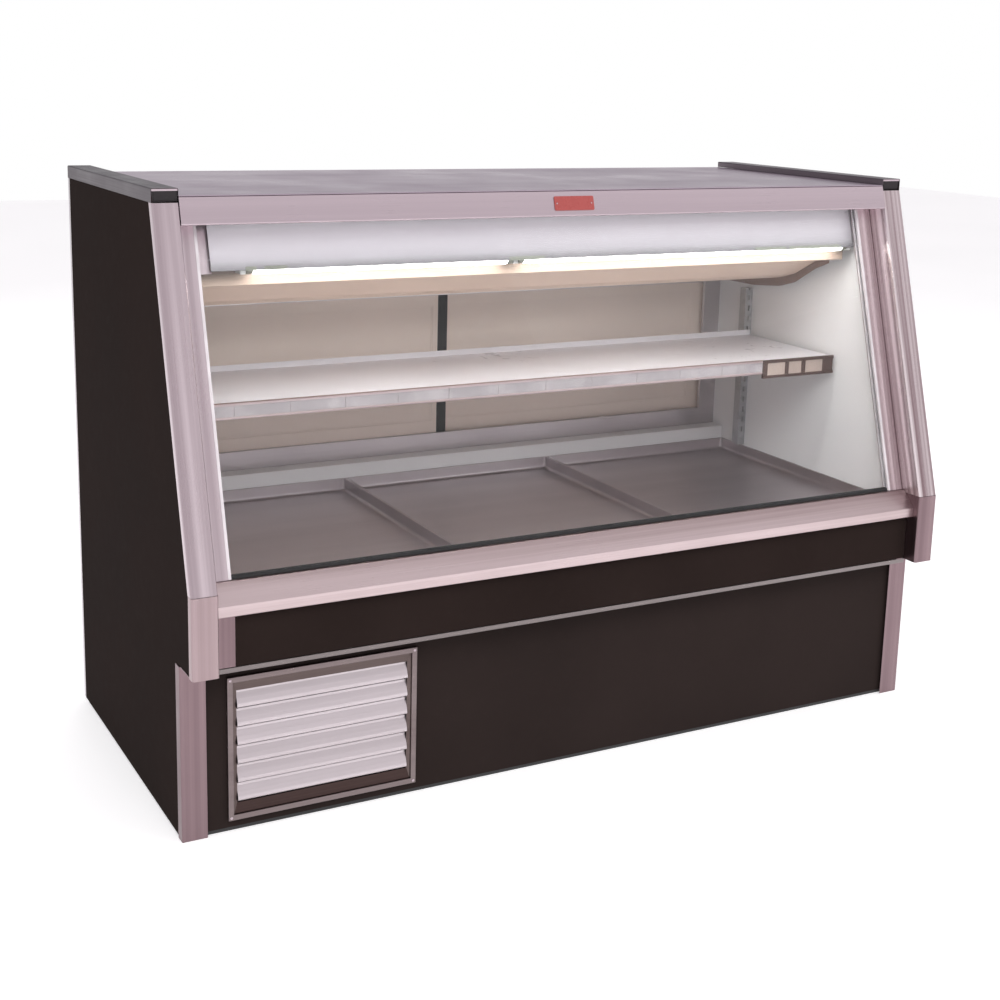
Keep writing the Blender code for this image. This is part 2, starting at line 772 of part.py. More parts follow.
# ---------------------------------------------------------------- rear
def make_rear():
    half = WALL_INNER - 0.0005
    y0 = REAR - 0.052
    y1 = REAR - 0.008
    bottom = TUB_REAR_TOP + GAP
    head = DOOR_TOP + 0.027
    window = (
        -DOOR_WINDOW_HALF, DOOR_WINDOW_HALF, y0 - 1, y1 + 1, DOOR_BOTTOM + 0.010, DOOR_TOP - 0.013
    )
    pocket = (
        -DOOR_HALF_SPAN, DOOR_HALF_SPAN, y0 + DOOR_LIP, y1 - DOOR_LIP, DOOR_BOTTOM, DOOR_TOP
    )
    blocks(
        "rear_door_frame",
        [
            (-half, half, y0, y1, bottom, head),
            (-half, half, y1 - SHEET, y1, bottom, TOP_SHEET_UNDER - 0.001),
        ],
        "brushed_steel",
        cuts=[window, pocket],
    )
    clear = 0.0005
    door_z0 = DOOR_BOTTOM + GAP
    door_z1 = DOOR_TOP - 0.002
    inner_y = y0 + DOOR_LIP + 0.0015
    outer_y = y1 - DOOR_LIP - 0.0015 - DOOR_THICKNESS
    doors = {
        "left": (-DOOR_HALF_SPAN + clear, DOOR_OVERLAP, inner_y),
        "right": (-DOOR_OVERLAP, DOOR_HALF_SPAN - clear, outer_y),
    }
    for word, (x0, x1, y) in doors.items():
        back = y + DOOR_THICKNESS
        field = (x0 + DOOR_STILE, x1 - DOOR_STILE)
        height = (door_z0 + DOOR_STILE, door_z1 - DOOR_STILE)
        cuts = []
        for ya, yb in ((y - 1, y + DOOR_GROOVE), (back - DOOR_GROOVE, back + 1)):
            cuts.append((*field, ya, yb, *height))
        pull_x = x0 + PULL_WIDTH if word == "left" else x1 - 2 * PULL_WIDTH
        cuts.append(
            (pull_x, pull_x + PULL_WIDTH, back - 0.006, back + 1, PULL_BOTTOM, PULL_TOP)
        )
        door = blocks(
            f"rear_door_{word}", [(x0, x1, y, back, door_z0, door_z1)], "door_panel", cuts=cuts
        )
        set_origin(door, (x0 if word == "left" else x1, y, door_z0))

    slots = []
    for centre in VENT_CENTRES:
        for row in range(VENT_ROWS):
            z = VENT_BOTTOM + row * VENT_PITCH
            slots.append((centre - VENT_HALF, centre + VENT_HALF, 0.0, 1.0, z, z + VENT_SLOT))
    control_window = (*CONTROL_WINDOW[:2], 0.0, 1.0, *CONTROL_WINDOW[2:])
    wide = SKIN_INNER - GAP
    blocks(
        "rear_service_panel",
        [
            (-half, half, SERVICE_Y, SERVICE_Y + SHEET, SERVICE_FOOT, SERVICE_TOP),
            (-wide, wide, SERVICE_Y, SERVICE_Y + SHEET, SERVICE_FOOT, TUB_BOTTOM - 0.001),
        ],
        "galvanised",
        cuts=[*slots, control_window],
    )


def make_controls():
    face = SERVICE_Y - GAP
    x0, x1, z0, z1 = CONTROL_BOX
    inset = 0.020
    blocks(
        "control_box",
        [
            (x0, x1, face - SHEET, face, z0, z1),
            (x0 + inset, x1 - inset, face - 0.0395, face, z0 + inset, z1 - inset),
        ],
        "black_metal",
    )
    knob = turned(
        "thermostat_knob",
        [
            (0.0, 0.0), (0.0190, 0.0), (0.0200, 0.0015), (0.0200, 0.0040),
            (0.0155, 0.0055), (0.0145, 0.0190), (0.0125, 0.0205), (0.0, 0.0205),
        ],
        KNOB + Vector((0, GAP, 0)), (0, 1, 0), "black_plastic", 20,
    )
    set_origin(knob, KNOB)
    make_rocker()


def make_rocker():
    """The light switch, resting with its lower half pressed in."""
    reach = 0.014
    rise = reach * math.tan(math.radians(13))
    pivot = SWITCH + Vector((0, 0.003, 0))
    turn = Matrix.Rotation(math.radians(12), 2)
    outline = []
    for y, z in (
        (-0.0027, 0.0),
        (rise - 0.0027, -reach),
        (rise + 0.0013, -reach),
        (0.0033, 0.0),
        (rise + 0.0013, reach),
        (rise - 0.0027, reach),
    ):
        point = turn @ Vector((y, z))
        outline.append((pivot.y + point.x, pivot.z + point.y))
    switch = prism("light_switch", outline, SWITCH.x - 0.011, SWITCH.x + 0.011, "black_plastic")
    set_origin(switch, pivot)


# ---------------------------------------------------------------- refrigeration
def finned_coil(name, x0, x1, y0, y1, z0, z1, fins, plates):
    """A coil: a core with fins standing out of both faces, between its end plates."""
    core = (y1 - y0) * 0.22
    boxes = [(x0, x1, y0 + core, y1 - core, z0, z1)]
    pitch = (x1 - x0) / fins
    for number in range(fins):
        x = x0 + (number + 0.5) * pitch
        boxes.append((x - 0.0008, x + 0.0008, y0, y1, z0, z1))
    for x in (x0, x1 - PLATE):
        boxes.append((x, x + PLATE, y0 - 0.006, y1 + 0.006, plates[0], plates[1]))
    blocks(name, boxes, "coil_fins")


def make_refrigeration():
    floor = MACHINE_FLOOR + GAP
    finned_coil("condenser_coil", -0.775, -0.435, -0.300, -0.255, 0.055, 0.300, 16, (floor, 0.306))
    fan_wheel("condenser_fan", CONDENSER_FAN, 0.105, 0.024, 0.030, 5, "black_metal")
    motor_y = CONDENSER_FAN.y + 0.018
    motor = turned(
        "fan_motor",
        [
            (0.0, 0.0), (0.020, 0.0), (0.030, 0.004), (0.036, 0.010),
            (0.036, 0.060), (0.030, 0.066), (0.0, 0.066),
        ],
        (CONDENSER_FAN.x, motor_y, CONDENSER_FAN.z), (0, 1, 0), "black_metal", 20,
    )
    stand = blocks(
        "fan_motor_stand",
        [
            (CONDENSER_FAN.x - 0.05, CONDENSER_FAN.x + 0.05, motor_y + 0.015, motor_y + 0.055,
             floor, floor + 0.003),
            (CONDENSER_FAN.x - 0.012, CONDENSER_FAN.x + 0.012, motor_y + 0.025, motor_y + 0.045,
             floor, CONDENSER_FAN.z - 0.020),
        ],
        "black_metal",
    )
    union_with(motor, stand)
    turned(
        "compressor",
        [
            (0.0, 0.0), (0.088, 0.0), (0.088, 0.006), (0.078, 0.008), (0.078, 0.030),
            (0.092, 0.060), (0.095, 0.085), (0.095, 0.120), (0.090, 0.150),
            (0.072, 0.178), (0.045, 0.192), (0.0, 0.198),
        ],
        (*COMPRESSOR, floor), (0, 0, 1), "black_metal", 24,
    )
    pan = (-0.330, 0.080, 0.020, 0.340, floor, floor + 0.050)
    hollow = (-0.328, 0.078, 0.022, 0.338, floor + 0.002, 1.0)
    blocks("condensate_pan", [pan], "galvanised", cuts=[hollow])

    hang = TOP_SHEET_UNDER - 0.001
    finned_coil("evaporator_coil", -0.560, 0.560, 0.195, 0.300, 0.985, 1.165, 28, (0.975, hang))
    fan_wheel("evaporator_fan", EVAPORATOR_FAN, 0.082, 0.018, 0.022, 4, "black_plastic")
    x, y, z = EVAPORATOR_FAN
    blocks(
        "evaporator_motor",
        [
            (x - 0.030, x + 0.030, y + 0.014, y + 0.044, z - 0.028, z + 0.028),
            (x - 0.010, x + 0.010, y + 0.020, y + 0.023, z, hang),
            (x - 0.060, x + 0.060, y + 0.020, y + 0.060, hang - PLATE, hang),
        ],
        "black_metal",
    )


clear_scene()
make_base()
make_grille()
make_ends()
make_front()
make_tub_and_deck()
make_shelf()
make_canopy()
make_rear()
make_controls()
make_refrigeration()
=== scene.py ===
"""The looks of the refrigerated deli case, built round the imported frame.

Metres, +Z up, front towards -Y. Sheet metal is rebuilt with rounded folds, and every
finish is a node material that reads object coordinates, so it needs no UV maps.
"""
import math

import bmesh
import bpy
from mathutils import Matrix, Vector


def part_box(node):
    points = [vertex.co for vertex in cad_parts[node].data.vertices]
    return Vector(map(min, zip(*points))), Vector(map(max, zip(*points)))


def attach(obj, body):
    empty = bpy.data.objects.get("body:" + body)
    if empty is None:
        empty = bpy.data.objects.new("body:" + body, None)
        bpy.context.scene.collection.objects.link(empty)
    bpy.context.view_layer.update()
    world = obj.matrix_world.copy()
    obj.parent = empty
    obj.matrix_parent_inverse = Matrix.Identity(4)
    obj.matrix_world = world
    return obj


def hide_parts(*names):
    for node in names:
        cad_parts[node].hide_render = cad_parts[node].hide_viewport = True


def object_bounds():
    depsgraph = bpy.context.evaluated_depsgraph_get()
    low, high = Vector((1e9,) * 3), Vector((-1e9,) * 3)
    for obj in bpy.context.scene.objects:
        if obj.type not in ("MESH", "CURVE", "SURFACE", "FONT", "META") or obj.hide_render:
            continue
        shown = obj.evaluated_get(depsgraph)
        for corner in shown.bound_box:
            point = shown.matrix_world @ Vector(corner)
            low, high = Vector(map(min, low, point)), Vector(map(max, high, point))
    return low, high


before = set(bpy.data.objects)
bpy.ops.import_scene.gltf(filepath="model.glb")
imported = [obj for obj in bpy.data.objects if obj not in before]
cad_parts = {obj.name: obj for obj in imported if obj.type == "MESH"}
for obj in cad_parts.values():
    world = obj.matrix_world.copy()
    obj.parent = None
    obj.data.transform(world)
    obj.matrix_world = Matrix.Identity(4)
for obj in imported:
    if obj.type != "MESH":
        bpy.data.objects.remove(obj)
CAD_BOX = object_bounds()

X, Y, Z = (Vector((1, 0, 0)), Vector((0, 1, 0)), Vector((0, 0, 1)))
SIDES = ((-1, "left"), (1, "right"))
THIN = 0.0009                # stainless skins
SHEET = 0.0012               # folded sheet of the front
CLEAR = 0.0003               # the gap that keeps touching pieces apart


# ---------------------------------------------------------------- where things are
class Span:
    """The rest box of a CAD node."""

    def __init__(self, node):
        low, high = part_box(node)
        self.x0, self.y0, self.z0 = low
        self.x1, self.y1, self.z1 = high
        self.middle = (low + high) / 2
        self.size = high - low


HALF = CAD_BOX[1][0]
FRONT = CAD_BOX[0][1]
REAR = CAD_BOX[1][1]
HEIGHT = CAD_BOX[1][2]
GLASS = Span("front_glass")
POST = Span("end_post_right")
LOWER = Span("lower_post_right")
CAP = Span("top_cap_right")
TRIM = Span("base_corner_trim_right")
WALL = Span("end_wall_right")
SILL = Span("sill_rail")
APRON = Span("front_apron")
FASCIA = Span("top_fascia")
TOP = Span("top_panel")
CANOPY = Span("light_canopy")
SHELF = Span("shelf_panel")
RAIL = Span("price_rail")
DOOR_FRAME = Span("rear_door_frame")
SERVICE = Span("rear_service_panel")
GRILLE = Span("grille_frame")
LAMP = Span("lamp_tube_left")

GLASS_THICKNESS = 0.006
KNEE = 0.516                 # the front leans back above this height
REFLECTOR_LEFT = -0.775      # the canopy's metal stops short of the left wall
LEAN = (GLASS.y1 - GLASS_THICKNESS - GLASS.y0) / (GLASS.z1 - GLASS.z0)
POST_LEAN = math.atan(LEAN)
GLASS_SETBACK = GLASS.y0 - (FRONT + (GLASS.z0 - KNEE) * LEAN)


def front_y(z):
    """Where the front plane stands at a height."""
    return FRONT + max(0.0, z - KNEE) * LEAN


# ---------------------------------------------------------------- finishes
class Finish:
    """A Principled material and a short way of writing its nodes."""

    def __init__(self, name, **constants):
        self.material = bpy.data.materials.new(name)
        self.material.use_nodes = True
        self.tree = self.material.node_tree
        self.surface = self.tree.nodes["Principled BSDF"]
        self.place = self.tree.nodes.new("ShaderNodeTexCoord").outputs["Object"]
        self.height = None
        for socket, value in constants.items():
            self.surface.inputs[socket.replace("_", " ")].default_value = value

    def feed(self, socket, value):
        if isinstance(value, bpy.types.NodeSocket):
            self.tree.links.new(value, socket)
        elif socket.type == "RGBA":
            socket.default_value = (*value, 1.0)
        else:
            socket.default_value = value

    def at_scale(self, scale):
        mapping = self.tree.nodes.new("ShaderNodeMapping")
        self.feed(mapping.inputs["Vector"], self.place)
        mapping.inputs["Scale"].default_value = scale
        return mapping.outputs["Vector"]

    def lean(self, angle):
        """Turn the pattern about the X axis, so that it follows a leaning part."""
        mapping = self.tree.nodes.new("ShaderNodeMapping")
        self.feed(mapping.inputs["Vector"], self.place)
        mapping.inputs["Rotation"].default_value = (angle, 0.0, 0.0)
        self.place = mapping.outputs["Vector"]

    def noise(self, scale, detail=2.0, roughness=0.5):
        node = self.tree.nodes.new("ShaderNodeTexNoise")
        self.feed(node.inputs["Vector"], self.at_scale(scale))
        node.inputs["Scale"].default_value = 1.0
        node.inputs["Detail"].default_value = detail
        node.inputs["Roughness"].default_value = roughness
        return node.outputs["Fac"]

    def cells(self, scale):
        node = self.tree.nodes.new("ShaderNodeTexVoronoi")
        self.feed(node.inputs["Vector"], self.at_scale(scale))
        node.inputs["Scale"].default_value = 1.0
        return node.outputs["Color"]

    def ramp(self, value, *stops):
        node = self.tree.nodes.new("ShaderNodeValToRGB")
        self.feed(node.inputs["Fac"], value)
        points = node.color_ramp.elements
        while len(points) < len(stops):
            points.new(0.5)
        for point, (position, colour) in zip(points, stops):
            point.position = position
            point.color = (*colour, 1.0)
        return node.outputs["Color"]

    def spread(self, value, low, high, start=0.3, end=0.7):
        """The value mapped from start..end to low..high."""
        node = self.tree.nodes.new("ShaderNodeMapRange")
        self.feed(node.inputs["Value"], value)
        limits = {"From Min": start, "From Max": end, "To Min": low, "To Max": high}
        for name, number in limits.items():
            node.inputs[name].default_value = number
        return node.outputs["Result"]

    def math(self, operation, a, b):
        node = self.tree.nodes.new("ShaderNodeMath")
        node.operation = operation
        self.feed(node.inputs[0], a)
        self.feed(node.inputs[1], b)
        return node.outputs["Value"]

    def tint(self, colour, factor, other):
        node = self.tree.nodes.new("ShaderNodeMix")
        node.data_type = "RGBA"
        sockets = {socket.identifier: socket for socket in [*node.inputs, *node.outputs]}
        self.feed(sockets["Factor_Float"], factor)
        self.feed(sockets["A_Color"], colour)
        self.feed(sockets["B_Color"], other)
        return sockets["Result_Color"]

    def bump(self, height, strength, distance=0.001):
        node = self.tree.nodes.new("ShaderNodeBump")
        node.inputs["Strength"].default_value = strength
        node.inputs["Distance"].default_value = distance
        self.feed(node.inputs["Height"], height)
        if self.height:
            self.feed(node.inputs["Normal"], self.height)
        self.height = node.outputs["Normal"]

    def finish(self, colour, roughness):
        self.feed(self.surface.inputs["Base Color"], colour)
        self.feed(self.surface.inputs["Roughness"], roughness)
        if self.height:
            self.feed(self.surface.inputs["Normal"], self.height)
        return self.material


def brushed(name, grain, colour, dark, rough=0.30, painted_highlight_bands=9.0, lean=0.0):
    """Stainless sheet, brushed along one axis, with painted highlight and shade bands and handling smudges.

    The grain names the axis that the brushing follows, the count of bands sets how many light and dark
    bands a metre holds across it, and the lean turns both about the X axis.
    These bands are painted highlights and painted shade, standing in for the stretched reflections of
    brushed steel.
    """
    finish = Finish(name, Metallic=1.0)
    finish.lean(lean)

    def stretched(across, along):
        return [along if axis == grain else across for axis in "xyz"]

    hairline = finish.noise(stretched(900.0, 5.0), 3.0, 0.6)
    streak = finish.noise(stretched(160.0, 1.1), 2.0)
    cloud = finish.noise(stretched(painted_highlight_bands, 0.4), 1.0)
    smudge = finish.noise((5.0, 5.0, 5.0), 4.0, 0.6)
    # painted reflection: the broad bands are painted highlight and painted shade across the grain
    painted_reflection_bands = finish.math("MULTIPLY", cloud, 0.75)
    shade = finish.math("ADD", painted_reflection_bands, finish.math("MULTIPLY", streak, 0.25))
    tone = finish.ramp(shade, (0.36, dark), (0.64, colour))
    tone = finish.tint(tone, finish.spread(hairline, 0.0, 0.14), dark)
    matt = finish.math(
        "ADD", finish.spread(hairline, rough - 0.04, rough + 0.07), finish.spread(smudge, -0.03, 0.08)
    )
    finish.bump(hairline, 0.06, 0.0003)
    finish.bump(smudge, 0.05, 0.002)
    return finish.finish(tone, matt)


def painted(name, colour, rough, variation=0.12, peel=0.06, specular=0.4):
    """Sheet steel with a baked coat: faint orange peel, dust and uneven gloss."""
    finish = Finish(name)
    finish.surface.inputs["Specular IOR Level"].default_value = specular
    wide = finish.noise((2.2, 2.2, 2.2), 3.0)
    fine = finish.noise((620.0, 620.0, 620.0), 2.0)
    dust = finish.noise((38.0, 38.0, 38.0), 5.0, 0.7)
    low = tuple(c * (1 - variation) for c in colour)
    high = tuple(min(1.0, c * (1 + variation)) for c in colour)
    tone = finish.ramp(wide, (0.35, low), (0.65, high))
    speck = tuple(min(1.0, c * 1.6 + 0.006) for c in colour)
    tone = finish.tint(tone, finish.spread(dust, 0.0, 0.10, 0.52, 0.75), speck)
    matt = finish.math(
        "ADD", finish.spread(wide, rough - 0.04, rough + 0.05), finish.spread(dust, -0.02, 0.06)
    )
    finish.bump(fine, peel, 0.0004)
    return finish.finish(tone, matt)


def paint_graded_by_painted_light(name, foot, head, *steps):
    """Lining paint whose colour changes with height, greyer where the lamps light it most: painted shade
    and painted light that even out how the lamps and the fascia light it.
    """
    finish = Finish(name)
    split = finish.tree.nodes.new("ShaderNodeSeparateXYZ")
    finish.feed(split.inputs["Vector"], finish.place)
    rise = finish.spread(split.outputs["Z"], 0.0, 1.0, foot, head)
    cloud = finish.noise((6.0, 6.0, 6.0), 3.0)
    tone = finish.ramp(rise, *steps)
    tone = finish.tint(tone, finish.spread(cloud, 0.0, 0.06), (0.50, 0.47, 0.50))
    finish.bump(finish.noise((500.0, 500.0, 500.0), 2.0), 0.04, 0.0003)
    return finish.finish(tone, finish.spread(cloud, 0.34, 0.42))


def spangled():
    """Galvanised sheet with its zinc crystals."""
    finish = Finish("galvanised_sheet", Metallic=0.85)
    crystal = finish.cells((75.0, 75.0, 75.0))
    cloud = finish.noise((6.0, 6.0, 6.0), 4.0)
    tone = finish.ramp(crystal, (0.0, (0.42, 0.43, 0.44)), (1.0, (0.58, 0.58, 0.60)))
    tone = finish.tint(tone, finish.spread(cloud, 0.0, 0.35), (0.40, 0.40, 0.40))
    matt = finish.math(
        "ADD", finish.spread(crystal, 0.34, 0.52, 0.0, 1.0), finish.spread(cloud, -0.03, 0.06)
    )
    finish.bump(finish.noise((300.0, 300.0, 300.0), 2.0), 0.05, 0.0004)
    return finish.finish(tone, matt)


def moulded(name, colour, rough=0.45, grain=900.0):
    """Moulded plastic or rubber with a fine spark texture."""
    finish = Finish(name)
    texture = finish.noise((grain, grain, grain), 3.0, 0.6)
    cloud = finish.noise((14.0, 14.0, 14.0), 4.0)
    low = tuple(c * 0.88 for c in colour)
    high = tuple(min(1.0, c * 1.1) for c in colour)
    tone = finish.ramp(cloud, (0.35, low), (0.65, high))
    matt = finish.math(
        "ADD", finish.spread(texture, rough - 0.05, rough + 0.05), finish.spread(cloud, -0.03, 0.05)
    )
    finish.bump(texture, 0.12, 0.0003)
    return finish.finish(tone, matt)


def clear_glass(name):
    """Thin clear sheet with a faint film and wipe marks."""
    finish = Finish(
        name, Transmission_Weight=1.0, IOR=1.0, Alpha=0.40, Coat_Weight=1.0, Coat_Roughness=0.0
    )
    film = finish.noise((7.0, 7.0, 7.0), 4.0, 0.6)
    wipe = finish.noise((60.0, 60.0, 3.0), 3.0)
    tone = finish.ramp(film, (0.3, (0.93, 0.965, 0.955)), (0.7, (0.95, 0.98, 0.97)))
    matt = finish.math("ADD", finish.spread(film, 0.0, 0.012), finish.spread(wipe, 0.0, 0.008))
    finish.bump(film, 0.004, 0.001)
    return finish.finish(tone, matt)


def lit_tube(name, strength):
    """The phosphor glow of a fluorescent tube, a little uneven towards its ends."""
    finish = Finish(name)
    cloud = finish.noise((9.0, 30.0, 30.0), 2.0)
    tone = finish.ramp(cloud, (0.3, (0.98, 0.98, 0.94)), (0.7, (1.0, 1.0, 0.97)))
    finish.feed(finish.surface.inputs["Emission Color"], tone)
    glow = finish.spread(cloud, strength * 0.94, strength * 1.06)
    finish.feed(finish.surface.inputs["Emission Strength"], glow)
    finish.bump(finish.noise((400.0, 400.0, 400.0), 2.0), 0.02, 0.0003)
    return finish.finish(tone, finish.spread(cloud, 0.2, 0.3))


STEEL = (0.63, 0.53, 0.575)
STEEL_SOFT = (0.53, 0.445, 0.485)
MATERIALS = {
    "steel_x": brushed("stainless_brushed_lengthwise", "x", STEEL, STEEL_SOFT),
    "steel_post": brushed(
        "stainless_post_upright", "z", (0.68, 0.585, 0.62), (0.45, 0.37, 0.40), 0.28, 45.0, POST_LEAN
    ),
    # painted highlight and painted shade: the right post's stainless is painted far lighter and darker than
    # the metal, for the bright streaks and shade on it
    "steel_post_right_painted_highlights": brushed(
        "stainless_post_painted_highlights", "z", (0.97, 0.88, 0.90), (0.30, 0.215, 0.23), 0.26, 60.0, POST_LEAN
    ),
    "steel_top": brushed("stainless_top_lengthwise", "x", (0.56, 0.465, 0.54), (0.46, 0.38, 0.45)),
    # painted shade: the left cap's stainless is painted very dark, for the shade on its side
    "steel_cap_left_painted_shade": brushed(
        "stainless_left_cap_painted_shade", "y", (0.105, 0.085, 0.100), (0.070, 0.055, 0.066), 0.34
    ),
    "canopy_end": painted("tan_canopy_end", (0.24, 0.165, 0.145), 0.42, 0.10, 0.05),
    "steel_rear": brushed("stainless_rear_upright", "z", (0.64, 0.60, 0.62), (0.55, 0.515, 0.53)),
    "steel_rear_x": brushed("stainless_rear_lengthwise", "x", (0.64, 0.60, 0.62), (0.55, 0.515, 0.53)),
    "steel_sill": brushed(
        "stainless_sill_lengthwise", "x", (0.61, 0.50, 0.51), (0.39, 0.30, 0.30), 0.30, 16.0
    ),
    # painted shade: darker copies of the stainless for the lower posts, base angles and apron end plate
    "steel_lower_painted_shade": brushed(
        "stainless_lower_painted_shade", "z", (0.48, 0.37, 0.385), (0.35, 0.265, 0.275), 0.30, 40.0
    ),
    "steel_base_painted_shade": brushed(
        "stainless_base_painted_shade", "z", (0.30, 0.215, 0.23), (0.21, 0.145, 0.158), 0.30, 40.0
    ),
    # painted shade: the trim under the sill is the stainless painted dark
    "steel_trim_painted_shade": brushed("stainless_apron_trim_painted_shade", "x", (0.25, 0.22, 0.218), (0.19, 0.165, 0.163), 0.32),
    # painted shade: the right cap's stainless is painted dark, for the shade on its legs
    "steel_cap_painted_shade": brushed("stainless_cap_painted_shade", "y", (0.195, 0.165, 0.187), (0.14, 0.115, 0.132), 0.34),
    "steel_pan": brushed("stainless_deck_pan", "x", (0.55, 0.50, 0.515), (0.48, 0.435, 0.45), 0.36),
    "steel_grille": brushed("stainless_grille_frame", "x", (0.25, 0.205, 0.205), (0.19, 0.15, 0.15), 0.32),
    # painted shade and painted shadow: the recess is darker stainless, and its foot darkest, where shadow
    # falls below the louvres
    "recess": brushed("grille_recess_painted_shade", "x", (0.165, 0.128, 0.122), (0.115, 0.087, 0.083), 0.42),
    "recess_painted_shadow": brushed("grille_recess_foot", "x", (0.085, 0.056, 0.052), (0.050, 0.033, 0.031), 0.45),
    "louvre": brushed("louvre_anodised", "x", (0.66, 0.60, 0.625), (0.57, 0.515, 0.535), 0.38),
    "fins": brushed("coil_fin_stock", "z", (0.66, 0.66, 0.67), (0.50, 0.50, 0.51), 0.42),
    "copper": brushed("copper_tube", "x", (0.80, 0.43, 0.28), (0.55, 0.27, 0.17), 0.30),
    "lamp_cap": brushed("lamp_cap_metal", "x", (0.40, 0.41, 0.36), (0.24, 0.25, 0.21), 0.35),
    "black": painted("black_baked_paint", (0.0205, 0.0143, 0.0132), 0.55, 0.12, 0.08, 0.03),
    # painted shade: a darker copy of the black paint with less sheen, for the end panels and the apron,
    # which the lights strike harder
    "black_matt_painted_shade": painted("black_paint_painted_shade", (0.0185, 0.0126, 0.0114), 0.60, 0.12, 0.08, 0.005),
    "black_metal": painted("black_machine_paint", (0.022, 0.022, 0.023), 0.42, 0.2, 0.10),
    "enamel": painted("white_enamel_coat", (0.80, 0.78, 0.82), 0.30, 0.02, 0.04),
    "liner": painted("white_liner_skin", (0.82, 0.81, 0.81), 0.42, 0.02, 0.05),
    "door": painted("warm_grey_door_laminate", (0.84, 0.725, 0.645), 0.34, 0.05, 0.05),
    # painted shade: the underside lining darkens towards the top, by the lamps
    "underside": paint_graded_by_painted_light(
        "tan_canopy_underside_painted_shade", LAMP.middle.z - 0.046, LAMP.middle.z + 0.004, (0.0, (0.66, 0.505, 0.41)),
        (0.35, (0.47, 0.355, 0.285)), (0.65, (0.20, 0.150, 0.122)), (1.0, (0.11, 0.080, 0.064)),
    ),
    "badge": painted("badge_blank_enamel", (0.30, 0.055, 0.050), 0.28, 0.04, 0.02),
    # painted light and painted shade: the reflector is painted white at the top under the fascia and grey
    # down by the lamps
    "reflector": paint_graded_by_painted_light(
        "reflector_painted_light_and_shade", LAMP.middle.z, FASCIA.z1, (0.0, (0.24, 0.23, 0.245)),
        (0.10, (0.46, 0.435, 0.47)), (0.40, (0.78, 0.735, 0.79)), (1.0, (1.0, 0.955, 1.0)),
    ),
    "galvanised": spangled(),
    "grey_plastic": moulded("grey_lamp_plastic", (0.50, 0.50, 0.49)),
    "black_plastic": moulded("black_knob_plastic", (0.012, 0.011, 0.012)),
    "cap_plug": moulded("dark_cap_plug", (0.010, 0.0065, 0.0080), 0.6, 700.0),
    "rubber": moulded("black_rubber_seal", (0.016, 0.016, 0.017), 0.62, 500.0),
    "tag_card": moulded("blank_tag_card", (0.42, 0.335, 0.295), 0.5, 500.0),
    "tag_frame": moulded("brown_tag_channel", (0.075, 0.042, 0.036), 0.45, 700.0),
    "card": moulded("blank_label_card", (0.74, 0.73, 0.72), 0.6, 700.0),
    "insert": moulded("price_rail_clear_strip", (0.37, 0.335, 0.35), 0.25, 300.0),
    "bead": moulded("pale_glazing_bead", (0.62, 0.58, 0.60), 0.35, 500.0),
    "glass": clear_glass("tempered_clear_glass"),
    "lamp": lit_tube("fluorescent_tube_glow", 10.0),
}
POST_FINISH = {"left": "steel_post", "right": "steel_post_right_painted_highlights"}
CAP_FINISH = {"left": "steel_cap_left_painted_shade", "right": "steel_cap_painted_shade"}


# ---------------------------------------------------------------- mesh helpers
def add_piece(name, bm, finish, body="cabinet", stands_for=(), smooth=35):
    """Turns a bmesh into a piece that rides on a body and takes a finish."""
    bmesh.ops.remove_doubles(bm, verts=bm.verts, dist=1e-6)
    bmesh.ops.recalc_face_normals(bm, faces=bm.faces)
    mesh = bpy.data.meshes.new(name)
    bm.to_mesh(mesh)
    bm.free()
    mesh.shade_smooth()
    mesh.set_sharp_from_angle(angle=math.radians(smooth))
    mesh.materials.append(MATERIALS[finish])
    obj = bpy.data.objects.new(name, mesh)
    bpy.context.scene.collection.objects.link(obj)
    level = obj.modifiers.new("flat_faces_stay_flat", "WEIGHTED_NORMAL")
    level.keep_sharp = True
    level.weight = 100
    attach(obj, body)
    if stands_for:
        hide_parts(*stands_for)


def soften(bm, width, angle=30, segments=2):
    """Rounds every edge sharper than the angle."""
    edges = [
        e for e in bm.edges
        if len(e.link_faces) == 2 and e.calc_face_angle(0.0) > math.radians(angle)
    ]
    bmesh.ops.bevel(
        bm, geom=edges, offset=width, segments=segments, profile=0.5,
        affect="EDGES", clamp_overlap=True,
    )


def refined(node, finish, width=0.0006, body="cabinet", segments=2):
    """A copy of a CAD node's shape with rounded edges, standing for the node."""
    bm = bmesh.new()
    bm.from_mesh(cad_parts[node].data)
    bmesh.ops.remove_doubles(bm, verts=bm.verts, dist=1e-5)
    bmesh.ops.recalc_face_normals(bm, faces=bm.faces)
    bmesh.ops.dissolve_limit(
        bm, angle_limit=math.radians(0.5), verts=bm.verts, edges=bm.edges
    )
    soften(bm, width, segments=segments)
    add_piece(f"{node}_shape", bm, finish, body, (node,))


def add_box(bm, x0, x1, y0, y1, z0, z1, edge=0.0):
    """A box with rounded edges, added to a bmesh."""
    made = bmesh.ops.create_cube(bm, size=1.0)["verts"]
    size = Vector((x1 - x0, y1 - y0, z1 - z0))
    centre = Vector((x0 + x1, y0 + y1, z0 + z1)) / 2
    for vert in made:
        vert.co = Vector(c * s for c, s in zip(vert.co, size)) + centre
    if edge:
        edges = list({e for v in made for e in v.link_edges})
        bmesh.ops.bevel(
            bm, geom=edges, offset=edge, segments=2, profile=0.5,
            affect="EDGES", clamp_overlap=True,
        )
    return made


def add_border(bm, x0, x1, y0, y1, z0, z1, width, edge):
    """Four bars round a rectangle in the XZ plane."""
    add_box(bm, x0, x1, y0, y1, z0, z0 + width, edge)
    add_box(bm, x0, x1, y0, y1, z1 - width, z1, edge)
    add_box(bm, x0, x0 + width, y0, y1, z0 + width, z1 - width, edge)
    add_box(bm, x1 - width, x1, y0, y1, z0 + width, z1 - width, edge)


